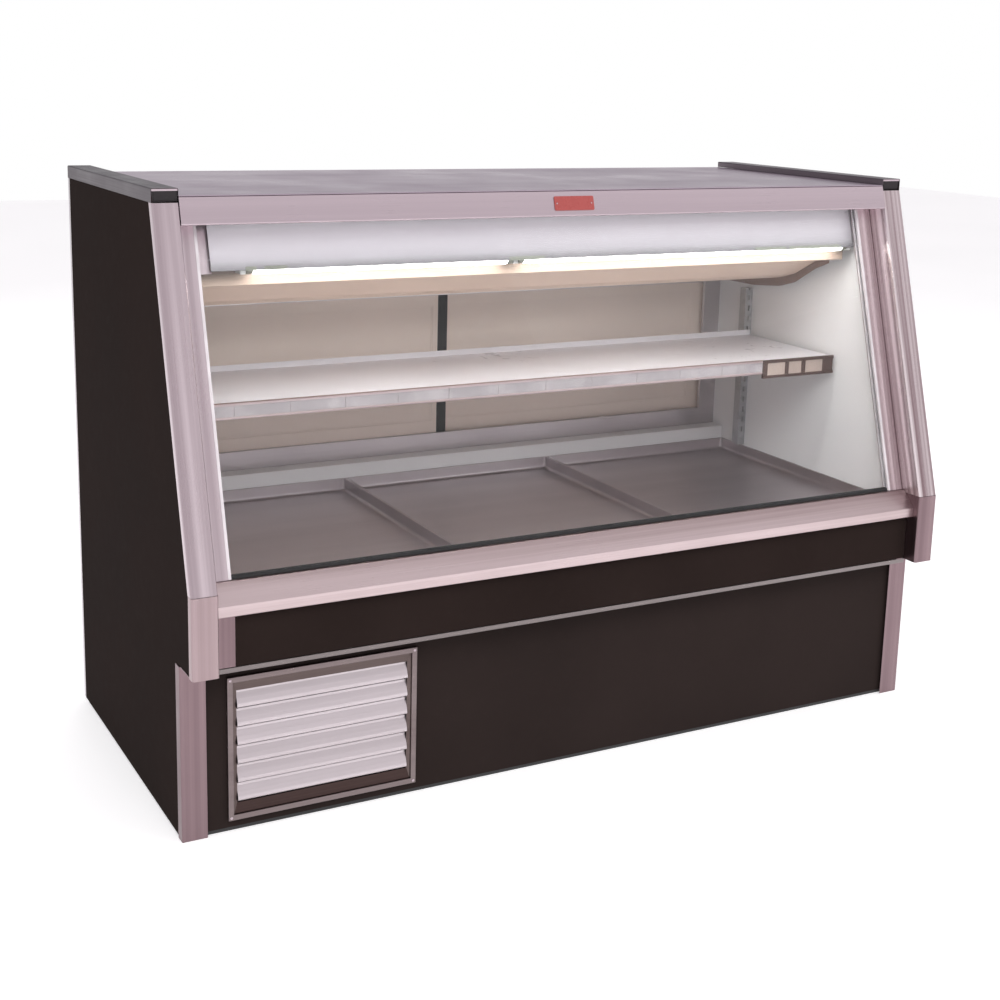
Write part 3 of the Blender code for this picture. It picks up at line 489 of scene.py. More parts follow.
def rounded_rectangle(x0, x1, y0, y1, radius, steps):
    """The outline of a rectangle with round corners."""
    outline = []
    right, left, head, foot = (x1 - radius, x0 + radius, y1 - radius, y0 + radius)
    for turn, (cx, cy) in enumerate(((right, head), (left, head), (left, foot), (right, foot))):
        for step in range(steps + 1):
            angle = math.pi / 2 * (turn + step / steps)
            outline.append((cx + radius * math.cos(angle), cy + radius * math.sin(angle)))
    return outline


def add_turned(bm, profile, centre, axis, segments=32):
    """A turned shape: (radius, distance along the axis) points, closed at both ends."""
    turn = Z.rotation_difference(Vector(axis)).to_matrix()
    rings = []
    for radius, along in profile:
        count = 1 if radius == 0 else segments
        ring = []
        for step in range(count):
            angle = 2 * math.pi * step / segments
            point = Vector((radius * math.cos(angle), radius * math.sin(angle), along))
            ring.append(bm.verts.new(turn @ point + Vector(centre)))
        rings.append(ring)
    for ring, following in zip(rings, rings[1:]):
        for step in range(segments):
            after = (step + 1) % segments
            corners = [ring[step % len(ring)], ring[after % len(ring)]]
            corners += [following[after % len(following)], following[step % len(following)]]
            bm.faces.new(list(dict.fromkeys(corners)))


def bridge(bm, rings):
    """Bands of quads from each ring to the next, all of one count."""
    for ring, following in zip(rings, rings[1:]):
        for s in range(len(ring)):
            t = (s + 1) % len(ring)
            bm.faces.new([ring[s], ring[t], following[t], following[s]])


def add_tube(bm, points, radius, sides=12):
    """A round tube through points, with flat closed ends."""
    points = [Vector(p) for p in points]
    rings = []
    normal = None
    for i, point in enumerate(points):
        before = points[max(i - 1, 0)]
        after = points[min(i + 1, len(points) - 1)]
        along = (after - before).normalized()
        if normal is None:
            normal = along.orthogonal().normalized()
        normal = (normal - along * normal.dot(along)).normalized()
        other = along.cross(normal)
        rings.append([
            bm.verts.new(
                point + (normal * math.cos(a) + other * math.sin(a)) * radius
            )
            for a in (2 * math.pi * s / sides for s in range(sides))
        ])
    bridge(bm, rings)
    bm.faces.new(rings[0])
    bm.faces.new(list(reversed(rings[-1])))


def smooth_route(points, bend, steps=6):
    """Straight runs joined by arcs of one bend radius."""
    points = [Vector(p) for p in points]
    route = [points[0]]
    for before, corner, after in zip(points, points[1:], points[2:]):
        back = (before - corner).normalized()
        ahead = (after - corner).normalized()
        reach = min(bend, (before - corner).length * 0.48, (after - corner).length * 0.48)
        start = corner + back * reach
        end = corner + ahead * reach
        for s in range(steps + 1):
            t = s / steps
            route.append(start * (1 - t) ** 2 + corner * 2 * t * (1 - t) + end * t * t)
    route.append(points[-1])
    return route


def folded(path, thickness, bend=0.0012, steps=4):
    """The outline of a sheet folded along a 2D path, with rounded bends and eased ends.

    The metal lies to the path's left for a positive thickness, else to its right.
    """
    path = [Vector(p) for p in path]
    gauge = abs(thickness)
    hand = 1 if thickness > 0 else -1
    rows = []

    def left(v):
        return Vector((-v.y, v.x))

    first = (path[1] - path[0]).normalized()
    rows.append((path[0], left(first) * hand))
    for before, corner, after in zip(path, path[1:], path[2:]):
        ahead = (corner - before).normalized()
        turn = ahead.angle_signed((after - corner).normalized()) * -1
        if abs(turn) < 1e-4:
            continue
        radius = bend + (gauge if turn * hand > 0 else 0.0)
        shortest = min((corner - before).length, (after - corner).length)
        reach = min(radius * math.tan(abs(turn) / 2), shortest * 0.45)
        radius = reach / math.tan(abs(turn) / 2)
        start = corner - ahead * reach
        side = left(ahead) * (1 if turn > 0 else -1)
        centre = start + side * radius
        for step in range(steps + 1):
            rotation = Matrix.Rotation(turn * step / steps, 2)
            rows.append((centre - rotation @ side * radius, rotation @ left(ahead) * hand))
    last = (path[-1] - path[-2]).normalized()
    rows.append((path[-1], left(last) * hand))
    ease = gauge * 0.25
    near = [p for p, _ in rows]
    far = [p + n * gauge for p, n in rows]
    near[0] = near[0] + first * ease
    far[0] = far[0] + first * ease
    near[-1] = near[-1] - last * ease
    far[-1] = far[-1] - last * ease
    tip = [path[-1] + rows[-1][1] * gauge * f for f in (0.25, 0.75)]
    tail = [path[0] + rows[0][1] * gauge * f for f in (0.75, 0.25)]
    return [*near, *tip, *reversed(far), *tail]


def add_extrusion(bm, outline, place, start, end):
    """An outline carried from one end to the other by place(point, distance)."""
    near = [bm.verts.new(place(p, start)) for p in outline]
    far = [bm.verts.new(place(p, end)) for p in outline]
    bm.faces.new(near)
    bm.faces.new(list(reversed(far)))
    for i in range(len(outline)):
        j = (i + 1) % len(outline)
        bm.faces.new([near[j], near[i], far[i], far[j]])


def along_x(p, distance):
    return Vector((distance, p[0], p[1]))


def along_y(p, distance):
    return Vector((p[0], distance, p[1]))


def along_z(p, distance):
    return Vector((p[0], p[1], distance))


def up_front(p, z):
    """Runs up the leaning front: p is (x, depth behind the front plane)."""
    return Vector((p[0], front_y(z) + p[1], z))


def sheet_piece(name, outline, place, start, end, finish, stands_for=()):
    """A piece of one outline, carried from start to end."""
    bm = bmesh.new()
    add_extrusion(bm, outline, place, start, end)
    add_piece(name, bm, finish, stands_for=stands_for)


def folded_node(node, path, place, finish, thickness, bend=0.0012, steps=4):
    """A folded sheet that runs the whole length of the CAD node it stands for."""
    span = Span(node)
    ends = {along_x: (span.x0, span.x1), along_y: (span.y0, span.y1)}
    start, end = ends.get(place, (span.z0, span.z1))
    outline = folded(path, thickness, bend, steps)
    sheet_piece(f"{node}_sheet", outline, place, start, end, finish, (node,))


def screws_piece(name, places, axis, finish, *size):
    """A piece of its own for a group of screws; the size is a head's radius and height."""
    bm = bmesh.new()
    add_screws(bm, places, axis, *size)
    add_piece(name, bm, finish)


def mirrored(points, side):
    """Points drawn for the right end, moved to the given side."""
    return [(side * p[0], p[1]) for p in points]


def pair(side, near, far):
    """The same for a span of x, low end first."""
    return tuple(sorted((side * near, side * far)))


def add_screws(bm, places, axis, radius=0.0038, proud=0.0016):
    """Pan-head screws with a cross recess, standing on a surface."""
    axis = Vector(axis)
    turn = Z.rotation_difference(axis).to_matrix()
    for place in places:
        profile = [
            (0.0, -0.0004), (radius, -0.0004), (radius, proud * 0.35),
            (radius * 0.82, proud * 0.8), (radius * 0.45, proud), (0.0, proud),
        ]
        add_turned(bm, profile, place, axis, 20)
        for angle in (0.0, math.pi / 2):
            verts = add_box(
                bm, -radius * 0.55, radius * 0.55, -radius * 0.11, radius * 0.11,
                proud - 0.0001, proud + 0.0002,
            )
            move = turn.to_4x4() @ Matrix.Rotation(angle, 4, "Z")
            bmesh.ops.transform(bm, matrix=Matrix.Translation(place) @ move, verts=verts)


# ---------------------------------------------------------------- base
def make_base():
    """The base frame, its front panel and the steel angles on its corners."""
    refined("base_frame", "black_metal", 0.0008)
    refined("base_front_panel", "black", 0.0004)
    path = [(TRIM.x0, TRIM.y0), (HALF, TRIM.y0), (HALF, TRIM.y1)]
    for side, word in SIDES:
        folded_node(f"base_corner_trim_{word}", mirrored(path, side), along_z, "steel_base_painted_shade", side * THIN)


def add_frame_members(bm, outer, inner, profile, back_y, members=(0, 1, 2, 3)):
    """Mitred members of a rectangular frame in the XZ plane: foot, right, head and left.

    The profile lists (edge, inset, height): an inset measured in from the outer edge or
    out from the opening, and a height in front of the back.
    """
    mitre = 0.00012
    ox0, ox1, oz0, oz1 = outer
    ix0, ix1, iz0, iz1 = inner

    def ring(edge, inset):
        if edge == "outer":
            return (ox0 + inset, ox1 - inset, oz0 + inset, oz1 - inset)
        return (ix0 - inset, ix1 + inset, iz0 - inset, iz1 + inset)

    def corner(box, which):
        x0, x1, z0, z1 = box
        return ((x0, z0), (x1, z0), (x1, z1), (x0, z1))[which % 4]

    for member in members:
        ends = []
        for which, shift in ((member, mitre), (member + 1, -mitre)):
            row = []
            for edge, inset, height in profile:
                x, z = corner(ring(edge, inset), which)
                if member % 2 == 0:
                    x += shift if member == 0 else -shift
                else:
                    z += shift if member == 1 else -shift
                row.append(bm.verts.new((x, back_y - height, z)))
            ends.append(row)
        bm.faces.new(ends[0])
        bm.faces.new(list(reversed(ends[1])))
        for i in range(len(profile)):
            j = (i + 1) % len(profile)
            bm.faces.new([ends[0][j], ends[0][i], ends[1][i], ends[1][j]])


def make_grille():
    """A mitred frame, the recess inside it in painted shade with painted shadow at its foot, six tilted
    louvres and their ties.
    """
    louvre = Span("grille_louvre_1")
    top = Span("grille_louvre_6")
    outer = (GRILLE.x0, GRILLE.x1, GRILLE.z0, GRILLE.z1)
    inner = (louvre.x0 - CLEAR, louvre.x1 + CLEAR, louvre.z0 - 0.0025, top.z1 + 0.001)
    deep = GRILLE.size.y
    flange = 0.0115
    profile = [
        ("outer", 0.0, 0.0), ("outer", 0.0, deep - 0.0012), ("outer", 0.0003, deep - 0.0005),
        ("outer", 0.0012, deep), ("outer", flange - 0.0014, deep),
        ("outer", flange - 0.0005, deep - 0.0005), ("outer", flange, deep - 0.0014),
        ("outer", flange, 0.0),
    ]
    bm = bmesh.new()
    add_frame_members(bm, outer, inner, profile, GRILLE.y1)
    add_piece("grille_frame_mitred", bm, "steel_grille", stands_for=("grille_frame",), smooth=50)

    profile = [
        ("outer", flange + 0.0002, 0.0002), ("outer", flange + 0.0002, 0.0030),
        ("outer", flange + 0.0014, 0.0036), ("inner", 0.0014, 0.0014),
        ("inner", 0.0, 0.0008), ("inner", 0.0, 0.0002),
    ]
    # the tray members carry painted shade, and the foot member carries painted shadow
    for word, members, finish in (("tray", (1, 2, 3), "recess"), ("foot", (0,), "recess_painted_shadow")):
        bm = bmesh.new()
        add_frame_members(bm, outer, inner, profile, GRILLE.y1, members)
        add_piece(f"grille_recess_{word}", bm, finish, smooth=50)

    edge = 0.0058
    corners = [
        (x, GRILLE.y0 + 0.0001, z)
        for x in (GRILLE.x0 + edge, GRILLE.x1 - edge)
        for z in (GRILLE.z0 + edge, GRILLE.z1 - edge)
    ]
    screws_piece("grille_screws", corners, -Y, "steel_x", 0.0028, 0.0010)

    for number in range(1, 7):
        blade = Span(f"grille_louvre_{number}")
        y, z = blade.y0, blade.z0
        path = [
            (y + 0.0110, blade.z1), (y + 0.0104, blade.z1 - 0.0050),
            (y + 0.0046, z + 0.0190), (y + 0.0012, z + 0.0100), (y + 0.0003, z + 0.0046),
            (y + 0.0022, z + 0.0008), (y + 0.0060, z + 0.0016),
        ]
        sheet_piece(
            f"grille_louvre_{number}_blade", folded(path, 0.0009, 0.0016, 3),
            along_x, blade.x0, blade.x1, "louvre", (f"grille_louvre_{number}",),
        )
    bm = bmesh.new()
    for x in (louvre.x0 + 0.004, louvre.x1 - 0.008):
        add_box(bm, x, x + 0.004, GRILLE.y1 + 0.0115, GRILLE.y1 + 0.0135, *inner[2:], 0.0003)
    add_piece("grille_louvre_ties", bm, "black_metal")


# ---------------------------------------------------------------- ends
def make_ends():
    """Both ends: panel and wall, the steel posts in front, the cap and the rear edge."""
    hem = 0.020                  # how far a post's outer flange wraps round the end
    post_depth = 0.080
    nose = 0.0050                # bend radius of the posts
    post = [(HALF, hem), (HALF, 0.0), (POST.x0, 0.0), (POST.x0, post_depth)]
    low = [(HALF, FRONT + hem), (HALF, FRONT), (LOWER.x0, FRONT), (LOWER.x0, LOWER.y1)]
    cap = [(HALF, CAP.z0), (HALF, HEIGHT), (CAP.x0, HEIGHT), (CAP.x0, TOP.z1 + 0.0005)]
    for side, word in SIDES:
        refined(f"end_panel_{word}", "black_matt_painted_shade", 0.0005)
        refined(f"end_wall_{word}", "liner", 0.0016, segments=3)
        post_path = mirrored(post, side)
        folded_node(f"end_post_{word}", post_path, up_front, POST_FINISH[word], -side * THIN, nose, 7)

        bm = bmesh.new()
        outline = folded(mirrored(low, side), -side * THIN, nose, 7)
        add_extrusion(bm, outline, along_z, LOWER.z0, LOWER.z1)
        x0, x1 = pair(side, LOWER.x0 + THIN + CLEAR, HALF - THIN - CLEAR)
        foot = (LOWER.z0 + 0.0002, LOWER.z0 + 0.0014)
        add_box(bm, x0, x1, FRONT + THIN + CLEAR, LOWER.y1 - CLEAR, *foot, 0.0003)
        # painted shade: the right lower post takes the darker copy of the stainless
        finish = "steel_lower_painted_shade" if side < 0 else "steel_base_painted_shade"
        add_piece(f"lower_post_{word}_sheet", bm, finish, stands_for=(f"lower_post_{word}",))

        cap_path = mirrored(cap, side)
        folded_node(f"top_cap_{word}", cap_path, along_y, CAP_FINISH[word], side * THIN, 0.0020, 5)
        make_cap_plug(side, word)

        bm = bmesh.new()
        x0, x1 = pair(side, Span("end_panel_right").x1 - 0.0002, HALF - CLEAR)
        add_box(bm, x0, x1, REAR - 0.012, REAR - 0.0001, 0.006, CAP.z0 - 0.0006, 0.0003)
        x0, x1 = pair(side, WALL.x0 + 0.001, WALL.x1 - 0.001)
        add_box(bm, x0, x1, WALL.y1 + CLEAR, REAR - 0.0003, WALL.z0, WALL.z1, 0.0005)
        add_piece(f"rear_edge_trim_{word}", bm, "steel_rear")


def make_cap_plug(side, word):
    """The dark plug that closes a cap's open front end, with its bright rim."""
    low = CAP.z0 + 0.0012
    high = HEIGHT - THIN - CLEAR
    x0, x1 = pair(side, CAP.x0 + THIN + CLEAR, HALF - THIN - CLEAR)
    face = CAP.y0
    bm = bmesh.new()
    add_box(bm, x0, x1, face + 0.0022, face + 0.016, low, high, 0.0012)
    add_box(bm, x0 + 0.004, x1 - 0.004, face + 0.0015, face + 0.004, low + 0.003, high - 0.004, 0.0009)
    add_piece(f"top_cap_plug_{word}", bm, "cap_plug")
    bm = bmesh.new()
    add_box(bm, x0, x1, face + 0.0002, face + 0.0020, high - 0.0042, high, 0.0006)
    add_piece(f"top_cap_lip_{word}", bm, "steel_x")


# ---------------------------------------------------------------- front and top
def make_sill_and_apron():
    """The sloping sill, the black apron under it and the trim along its foot."""
    rear_hem = 0.497
    sill = [
        (APRON.y0 + 0.002, SILL.z0), (SILL.y0, SILL.z0), (SILL.y0, SILL.z0 + 0.0225),
        (SILL.y0 + 0.035, SILL.z1), (SILL.y1, SILL.z1), (SILL.y1, rear_hem),
    ]
    folded_node("sill_rail", sill, along_x, "steel_sill", -SHEET, 0.0022, 5)
    refined("front_apron", "black_matt_painted_shade", 0.0004)
    strip = 0.042
    bm = bmesh.new()
    add_box(
        bm, APRON.x0, APRON.x0 + strip, APRON.y0 - 0.0014, APRON.y0 - 0.0002,
        APRON.z0 + 0.0006, APRON.z1 - 0.0004, 0.0004,
    )
    add_piece("front_apron_end_plate", bm, "steel_base_painted_shade")
    lip = Span("apron_bottom_trim")
    trim = [(lip.y0, lip.z1), (lip.y0, lip.z0), (lip.y1, lip.z0)]
    folded_node("apron_bottom_trim", trim, along_x, "steel_trim_painted_shade", SHEET, 0.0010)


def make_glazing():
    """The front glass, its seals at head and foot, and a channel with beads at each end."""
    refined("front_glass", "glass", 0.0008)
    bm = bmesh.new()
    for z0, z1 in ((GLASS.z0 - 0.001, GLASS.z0 + 0.004), (FASCIA.z0 - 0.0035, FASCIA.z0 + 0.004)):
        outline = [
            (GLASS.x0, GLASS_SETBACK - 0.0028), (GLASS.x1, GLASS_SETBACK - 0.0028),
            (GLASS.x1, GLASS_SETBACK - 0.0003), (GLASS.x0, GLASS_SETBACK - 0.0003),
        ]
        add_extrusion(bm, outline, up_front, z0, z1)
        outline = [(x, depth + GLASS_THICKNESS + 0.0031) for x, depth in outline]
        add_extrusion(bm, outline, up_front, z0, z1)
    add_piece("front_glass_seals", bm, "rubber")

    channel_node = Span("glass_channel_right")
    lip_x, outer_x = channel_node.x0, channel_node.x1
    channel = [
        (lip_x, GLASS_SETBACK - 0.006), (outer_x, GLASS_SETBACK - 0.006),
        (outer_x, GLASS_SETBACK + 0.014), (lip_x, GLASS_SETBACK + 0.014),
    ]
    for side, word in SIDES:
        path = mirrored(channel, side)
        folded_node(f"glass_channel_{word}", path, up_front, POST_FINISH[word], side * SHEET, 0.0010)

    bead = [
        (lip_x - 0.0010, GLASS_SETBACK - 0.0068), (lip_x + 0.0050, GLASS_SETBACK - 0.0068),
        (lip_x + 0.0050, GLASS_SETBACK - 0.0003), (lip_x + 0.0002, GLASS_SETBACK - 0.0003),
        (lip_x - 0.0010, GLASS_SETBACK - 0.0020),
    ]
    behind = GLASS_SETBACK + GLASS_THICKNESS
    rear_bead = [
        (lip_x + 0.0002, behind + 0.0003), (lip_x + 0.0080, behind + 0.0003),
        (lip_x + 0.0080, behind + 0.0055), (lip_x + 0.0002, behind + 0.0055),
    ]
    low, high = channel_node.z0 + 0.0005, channel_node.z1 - 0.0005
    for side, word in SIDES:
        bm = bmesh.new()
        add_extrusion(bm, mirrored(bead, side), up_front, low, high)
        add_extrusion(bm, mirrored(rear_bead, side), up_front, low, high)
        soften(bm, 0.0005, 40)
        add_piece(f"glazing_bead_{word}", bm, "bead")


def make_fascia_and_top():
    """The leaning fascia with its blank badge, and the hemmed top panel."""
    head = FASCIA.y0 + (FASCIA.z1 - FASCIA.z0) * LEAN
    fascia = [
        (FASCIA.y1, FASCIA.z0), (FASCIA.y0, FASCIA.z0), (head, FASCIA.z1), (head + 0.035, FASCIA.z1),
    ]
    folded_node("top_fascia", fascia, along_x, "steel_x", -SHEET, 0.0020, 5)
    hem = TOP.z0 + 0.0002
    panel = [(TOP.y1, hem), (TOP.y1, TOP.z1), (TOP.y0, TOP.z1), (TOP.y0, hem)]
    folded_node("top_panel", panel, along_x, "steel_top", 0.0011, 0.0006, 3)
    make_name_plate()


def make_name_plate():
    """A blank badge in the middle of the fascia, held by two rivets."""
    plate_x, width = (-0.002, 0.096)
    slope = math.hypot(1.0, LEAN)
    z0, z1 = (FASCIA.z0 + 0.0130, FASCIA.z0 + 0.0420)
    depth = 0.001                # of the fascia's face behind the front plane
    x0, x1 = plate_x - width / 2, plate_x + width / 2

    def on_fascia(p, lift):
        surface = front_y(p[1]) + depth
        return Vector((p[0], surface - lift * slope, p[1]))

    bm = bmesh.new()
    add_extrusion(bm, rounded_rectangle(x0, x1, z0, z1, 0.003, 4), on_fascia, 0.0001, 0.0016)
    soften(bm, 0.0003, 60)
    add_piece("fascia_badge_blank", bm, "badge")
    bm = bmesh.new()
    rivet = [(0.0, 0.0), (0.0018, 0.0), (0.0016, 0.0005), (0.0008, 0.0008), (0.0, 0.0009)]
    for x in (x0 + 0.006, x1 - 0.006):
        centre = on_fascia((x, (z0 + z1) / 2), 0.0015)
        add_turned(bm, rivet, centre, Vector((0, -slope, LEAN)), 16)
    add_piece("fascia_badge_rivets", bm, "steel_x")


# ---------------------------------------------------------------- cold space
def make_pans():
    """The insulated tub and its three pressed pans, each drawn as rings up, over and down."""
    refined("insulated_tub", "liner", 0.0015)
    for word in ("left", "centre", "right"):
        pan = Span(f"deck_pan_{word}")
        bm = bmesh.new()
        levels = [
            (0.0, pan.z0, 0.006), (0.0, pan.z1 - 0.0012, 0.006), (0.0006, pan.z1 - 0.0002, 0.0058),
            (0.0016, pan.z1, 0.005), (0.0030, pan.z1 - 0.0004, 0.0046), (0.0036, pan.z1 - 0.0016, 0.0044),
            (0.0040, pan.z0 + 0.0080, 0.0080), (0.0052, pan.z0 + 0.0036, 0.0090),
            (0.0090, pan.z0 + 0.0012, 0.0100), (0.0140, pan.z0 + 0.0010, 0.0110),
        ]
        rings = []
        for inset, z, radius in levels:
            outline = rounded_rectangle(
                pan.x0 + inset, pan.x1 - inset, pan.y0 + inset, pan.y1 - inset, radius, 6
            )
            rings.append([bm.verts.new((x, y, z)) for x, y in outline])
        bridge(bm, rings)
        bm.faces.new(rings[0])
        bm.faces.new(rings[-1])
        add_piece(f"deck_pan_{word}_pressed", bm, "steel_pan", stands_for=(f"deck_pan_{word}",), smooth=50)


def make_shelf():
    """The enamelled shelf, its price rail with clear strips, the tag holder and brackets."""
    surface = SHELF.z1 - 0.0135
    panel = [(SHELF.y0, SHELF.z0), (SHELF.y0, surface), (SHELF.y1, surface), (SHELF.y1, SHELF.z1)]
    folded_node("shelf_panel", panel, along_x, "enamel", -0.0014)
    back, face = RAIL.y1, RAIL.y0
    low, high = RAIL.z0, RAIL.z1
    rail = [
        (back, high), (face + 0.0026, high), (face + 0.0004, high - 0.0012), (face, high - 0.0034),
        (face, high - 0.0058), (face + 0.0012, high - 0.0058), (face + 0.0018, high - 0.0040),
        (face + 0.0026, high - 0.0040), (face + 0.0026, low + 0.0046), (face + 0.0018, low + 0.0046),
        (face + 0.0012, low + 0.0064), (face, low + 0.0064), (face, low + 0.0038),
        (face + 0.0006, low + 0.0010), (face + 0.0028, low), (back, low),
    ]
    sheet_piece("price_rail_extrusion", rail, along_x, RAIL.x0, RAIL.x1, "steel_sill", ("price_rail",))
    bm = bmesh.new()
    pitch = 0.1205
    for number in range(int((RAIL.x1 - RAIL.x0) / pitch)):
        x = RAIL.x0 + 0.002 + number * pitch
        strip_end = x + pitch - 0.0008
        add_box(bm, x, strip_end, face + 0.0013, face + 0.0023, low + 0.0056, high - 0.0048, 0.0002)
    add_piece("price_rail_inserts", bm, "insert")
    make_tag_holder()
    for side, word in SIDES:
        make_bracket(side, word)


def make_tag_holder():
    """A dark tag channel on the right of the price rail, with blank cards."""
    x0, x1 = RAIL.x1 + 0.002, SHELF.x1 - 0.001
    back, face = RAIL.y1, RAIL.y0 - 0.002
    low, high = RAIL.z0 - 0.010, RAIL.z1 - 0.001
    channel = [
        (back, high), (face, high), (face, high - 0.007), (face + 0.003, high - 0.007),
        (face + 0.003, low + 0.007), (face, low + 0.007), (face, low), (back, low),
    ]
    bm = bmesh.new()
    add_extrusion(bm, channel, along_x, x0, x1)
    soften(bm, 0.0004, 40)
    add_piece("shelf_tag_channel", bm, "tag_frame")
    bm = bmesh.new()
    for share, width in ((0.06, 0.052), (0.36, 0.038), (0.60, 0.052)):
        x = x0 + (x1 - x0) * share
        add_box(bm, x, x + width, face + 0.0016, face + 0.0026, low + 0.004, high - 0.004, 0.0003)
    add_piece("shelf_tag_cards", bm, "tag_card")


def make_bracket(side, word):
    """A slotted upright and a pressed knife bracket with its hooks and stiffening flange."""
    standard = Span(f"shelf_standard_{word}")
    inner_x = min(abs(standard.x0), abs(standard.x1))
    outer_x = max(abs(standard.x0), abs(standard.x1))
    front, back = standard.y0, standard.y1
    gauge = 0.0016
    slot_x = (outer_x - 0.0135, outer_x - 0.0085)
    bm = bmesh.new()
    for x in (inner_x, outer_x - gauge):
        x0, x1 = pair(side, x, x + gauge)
        add_box(bm, x0, x1, front, back, standard.z0, standard.z1, 0.0003)
    for x_near, x_far in ((inner_x + gauge, slot_x[0]), (slot_x[1], outer_x - gauge)):
        x0, x1 = pair(side, x_near, x_far)
        add_box(bm, x0, x1, front, front + gauge, standard.z0, standard.z1)
    x0, x1 = pair(side, *slot_x)
    first_slot, slot_pitch, slot_length = (0.535, 0.0275, 0.014)
    solid_from = standard.z0
    for step in range(15):
        slot_z = first_slot + step * slot_pitch
        solid_to = min(slot_z, standard.z1)
        add_box(bm, x0, x1, front, front + gauge, solid_from, solid_to)
        solid_from = slot_z + slot_length
    add_piece(f"shelf_standard_{word}_channel", bm, "galvanised", stands_for=(f"shelf_standard_{word}",))

    bracket = Span(f"shelf_bracket_{word}")
    x0, x1 = bracket.x0, bracket.x1
    tip, root = bracket.y0, bracket.y1
    top, heel = bracket.z1, bracket.z0
    outline = [
        (tip, top), (tip, top - 0.012), (tip + 0.004, top - 0.0145),
        (root - 0.063, heel + 0.013), (root - 0.058, heel + 0.010), (root, heel), (root, top),
    ]
    bm = bmesh.new()
    add_extrusion(bm, outline, along_x, x0, x1)
    soften(bm, 0.0005, 40)
    flange_x0, flange_x1 = pair(side, min(abs(x0), abs(x1)) - 0.007, max(abs(x0), abs(x1)))
    add_box(bm, flange_x0, flange_x1, tip + 0.004, root - 0.004, top - 0.0016, top - 0.0002, 0.0004)
    for z in (top - 0.024, top - 0.052, top - 0.078):
        add_box(bm, x0 + 0.0004, x1 - 0.0004, root - 0.002, root + 0.006, z, z + 0.011, 0.0004)
    add_piece(f"shelf_bracket_{word}_pressed", bm, "galvanised", stands_for=(f"shelf_bracket_{word}",))


def make_canopy():
    """The lamps' reflector, the drip tray behind them with its tan lining, and the ends."""
    top = CANOPY.z1
    behind = 0.088               # the reflector's head, measured from the front plane
    foot = LAMP.middle.z - 0.003
    reflector = [
        (front_y(top) + behind + 0.036, top), (front_y(top) + behind, top),
        (LAMP.y0 - 0.0024, foot), (LAMP.y0 - 0.0004, foot - 0.0006),
    ]
    ceiling = LAMP.middle.z + 0.017
    drop, gutter = (-0.143, 0.320)
    drip_face = [
        (-0.095, 1.046), (-0.045, 1.032), (0.030, 0.992), (0.090, 0.975), (0.197, 0.960), (gutter, 0.953),
    ]
    tray = [
        (front_y(ceiling) + behind + 0.0018, ceiling), (drop, ceiling), (drop, 1.048),
        *drip_face, (gutter, 0.978),
    ]
    sheet_piece(
        "light_canopy_reflector", folded(reflector, 0.0014, 0.0020), along_x,
        REFLECTOR_LEFT, CANOPY.x1, "reflector",
    )
    sheet_piece(
        "light_canopy_tray", folded(tray, 0.0014, 0.030, 8), along_x,
        REFLECTOR_LEFT, CANOPY.x1, "enamel", ("light_canopy",),
    )
    front = [(drop - 0.0004, LAMP.middle.z), (drop - 0.0004, 1.047)]
    lining = folded([*front, *((y, z - 0.0010) for y, z in drip_face)], -0.0006, 0.002, 6)
    sheet_piece(
        "light_canopy_lining", lining, along_x, CANOPY.x0 + 0.001, CANOPY.x1 - 0.001, "underside"
    )
    filler = [
        (-WALL.x0 + 0.0006, 0.0975), (REFLECTOR_LEFT + 0.004, 0.0975),
        (REFLECTOR_LEFT + 0.004, 0.0987), (-WALL.x0 + 0.0006, 0.0987),
    ]
    sheet_piece(
        "light_canopy_filler_left", filler, up_front, foot - 0.006, FASCIA.z0 + 0.02, "steel_post"
    )
    upper = [(y, z + 0.0035) for y, z in drip_face]
    belly = [0.014 + 0.010 * math.sin(math.pi * i / (len(drip_face) - 1)) for i in range(len(drip_face))]
    skirt = [(y, z - sag) for (y, z), sag in zip(drip_face, belly)]
    for side, word in SIDES:
        bm = bmesh.new()
        x0, x1 = pair(side, CANOPY.x1 + 0.0004, CANOPY.x1 + 0.0016)
        add_extrusion(bm, [*upper, *reversed(skirt)], along_x, x0, x1)
        soften(bm, 0.0003, 50)
        add_piece(f"canopy_end_plate_{word}", bm, "canopy_end")
    make_lamps()


def make_lamps():
    """Two lit tubes with metal caps, three holders and the clips in front of them."""
    for word in ("left", "right"):
        make_lamp_tube(word)
    recess = [(0.0, -0.001), (0.0085, -0.001), (0.0085, 0.0002), (0.0, 0.0002)]
    for word in ("left", "centre", "right"):
        holder = Span(f"lamp_holder_{word}")
        bm = bmesh.new()
        add_box(bm, holder.x0, holder.x1, holder.y0, holder.y1 - 0.0002, holder.z0, holder.z1, 0.0015)
        for x, way in ((holder.x0, -1), (holder.x1, 1)):
            add_turned(bm, recess, (x, LAMP.middle.y, LAMP.middle.z), X * way, 20)
        add_piece(f"lamp_holder_{word}_body", bm, "grey_plastic", stands_for=(f"lamp_holder_{word}",))
    centre = Span("lamp_holder_centre")
    clips = (
        (-0.706, -0.684), (-0.668, -0.620), (centre.x0 - 0.012, centre.x1 + 0.062),
        (0.520, 0.610), (0.618, 0.772),
    )
    face, back = (0.0858, 0.0878)
    bm = bmesh.new()
    for x0, x1 in clips:
        outline = [(x0, face), (x1, face), (x1, back), (x0, back)]
        add_extrusion(bm, outline, up_front, LAMP.middle.z - 0.0035, LAMP.middle.z + 0.0040)
    soften(bm, 0.0005, 40)
    add_piece("lamp_clip_covers", bm, "lamp_cap")


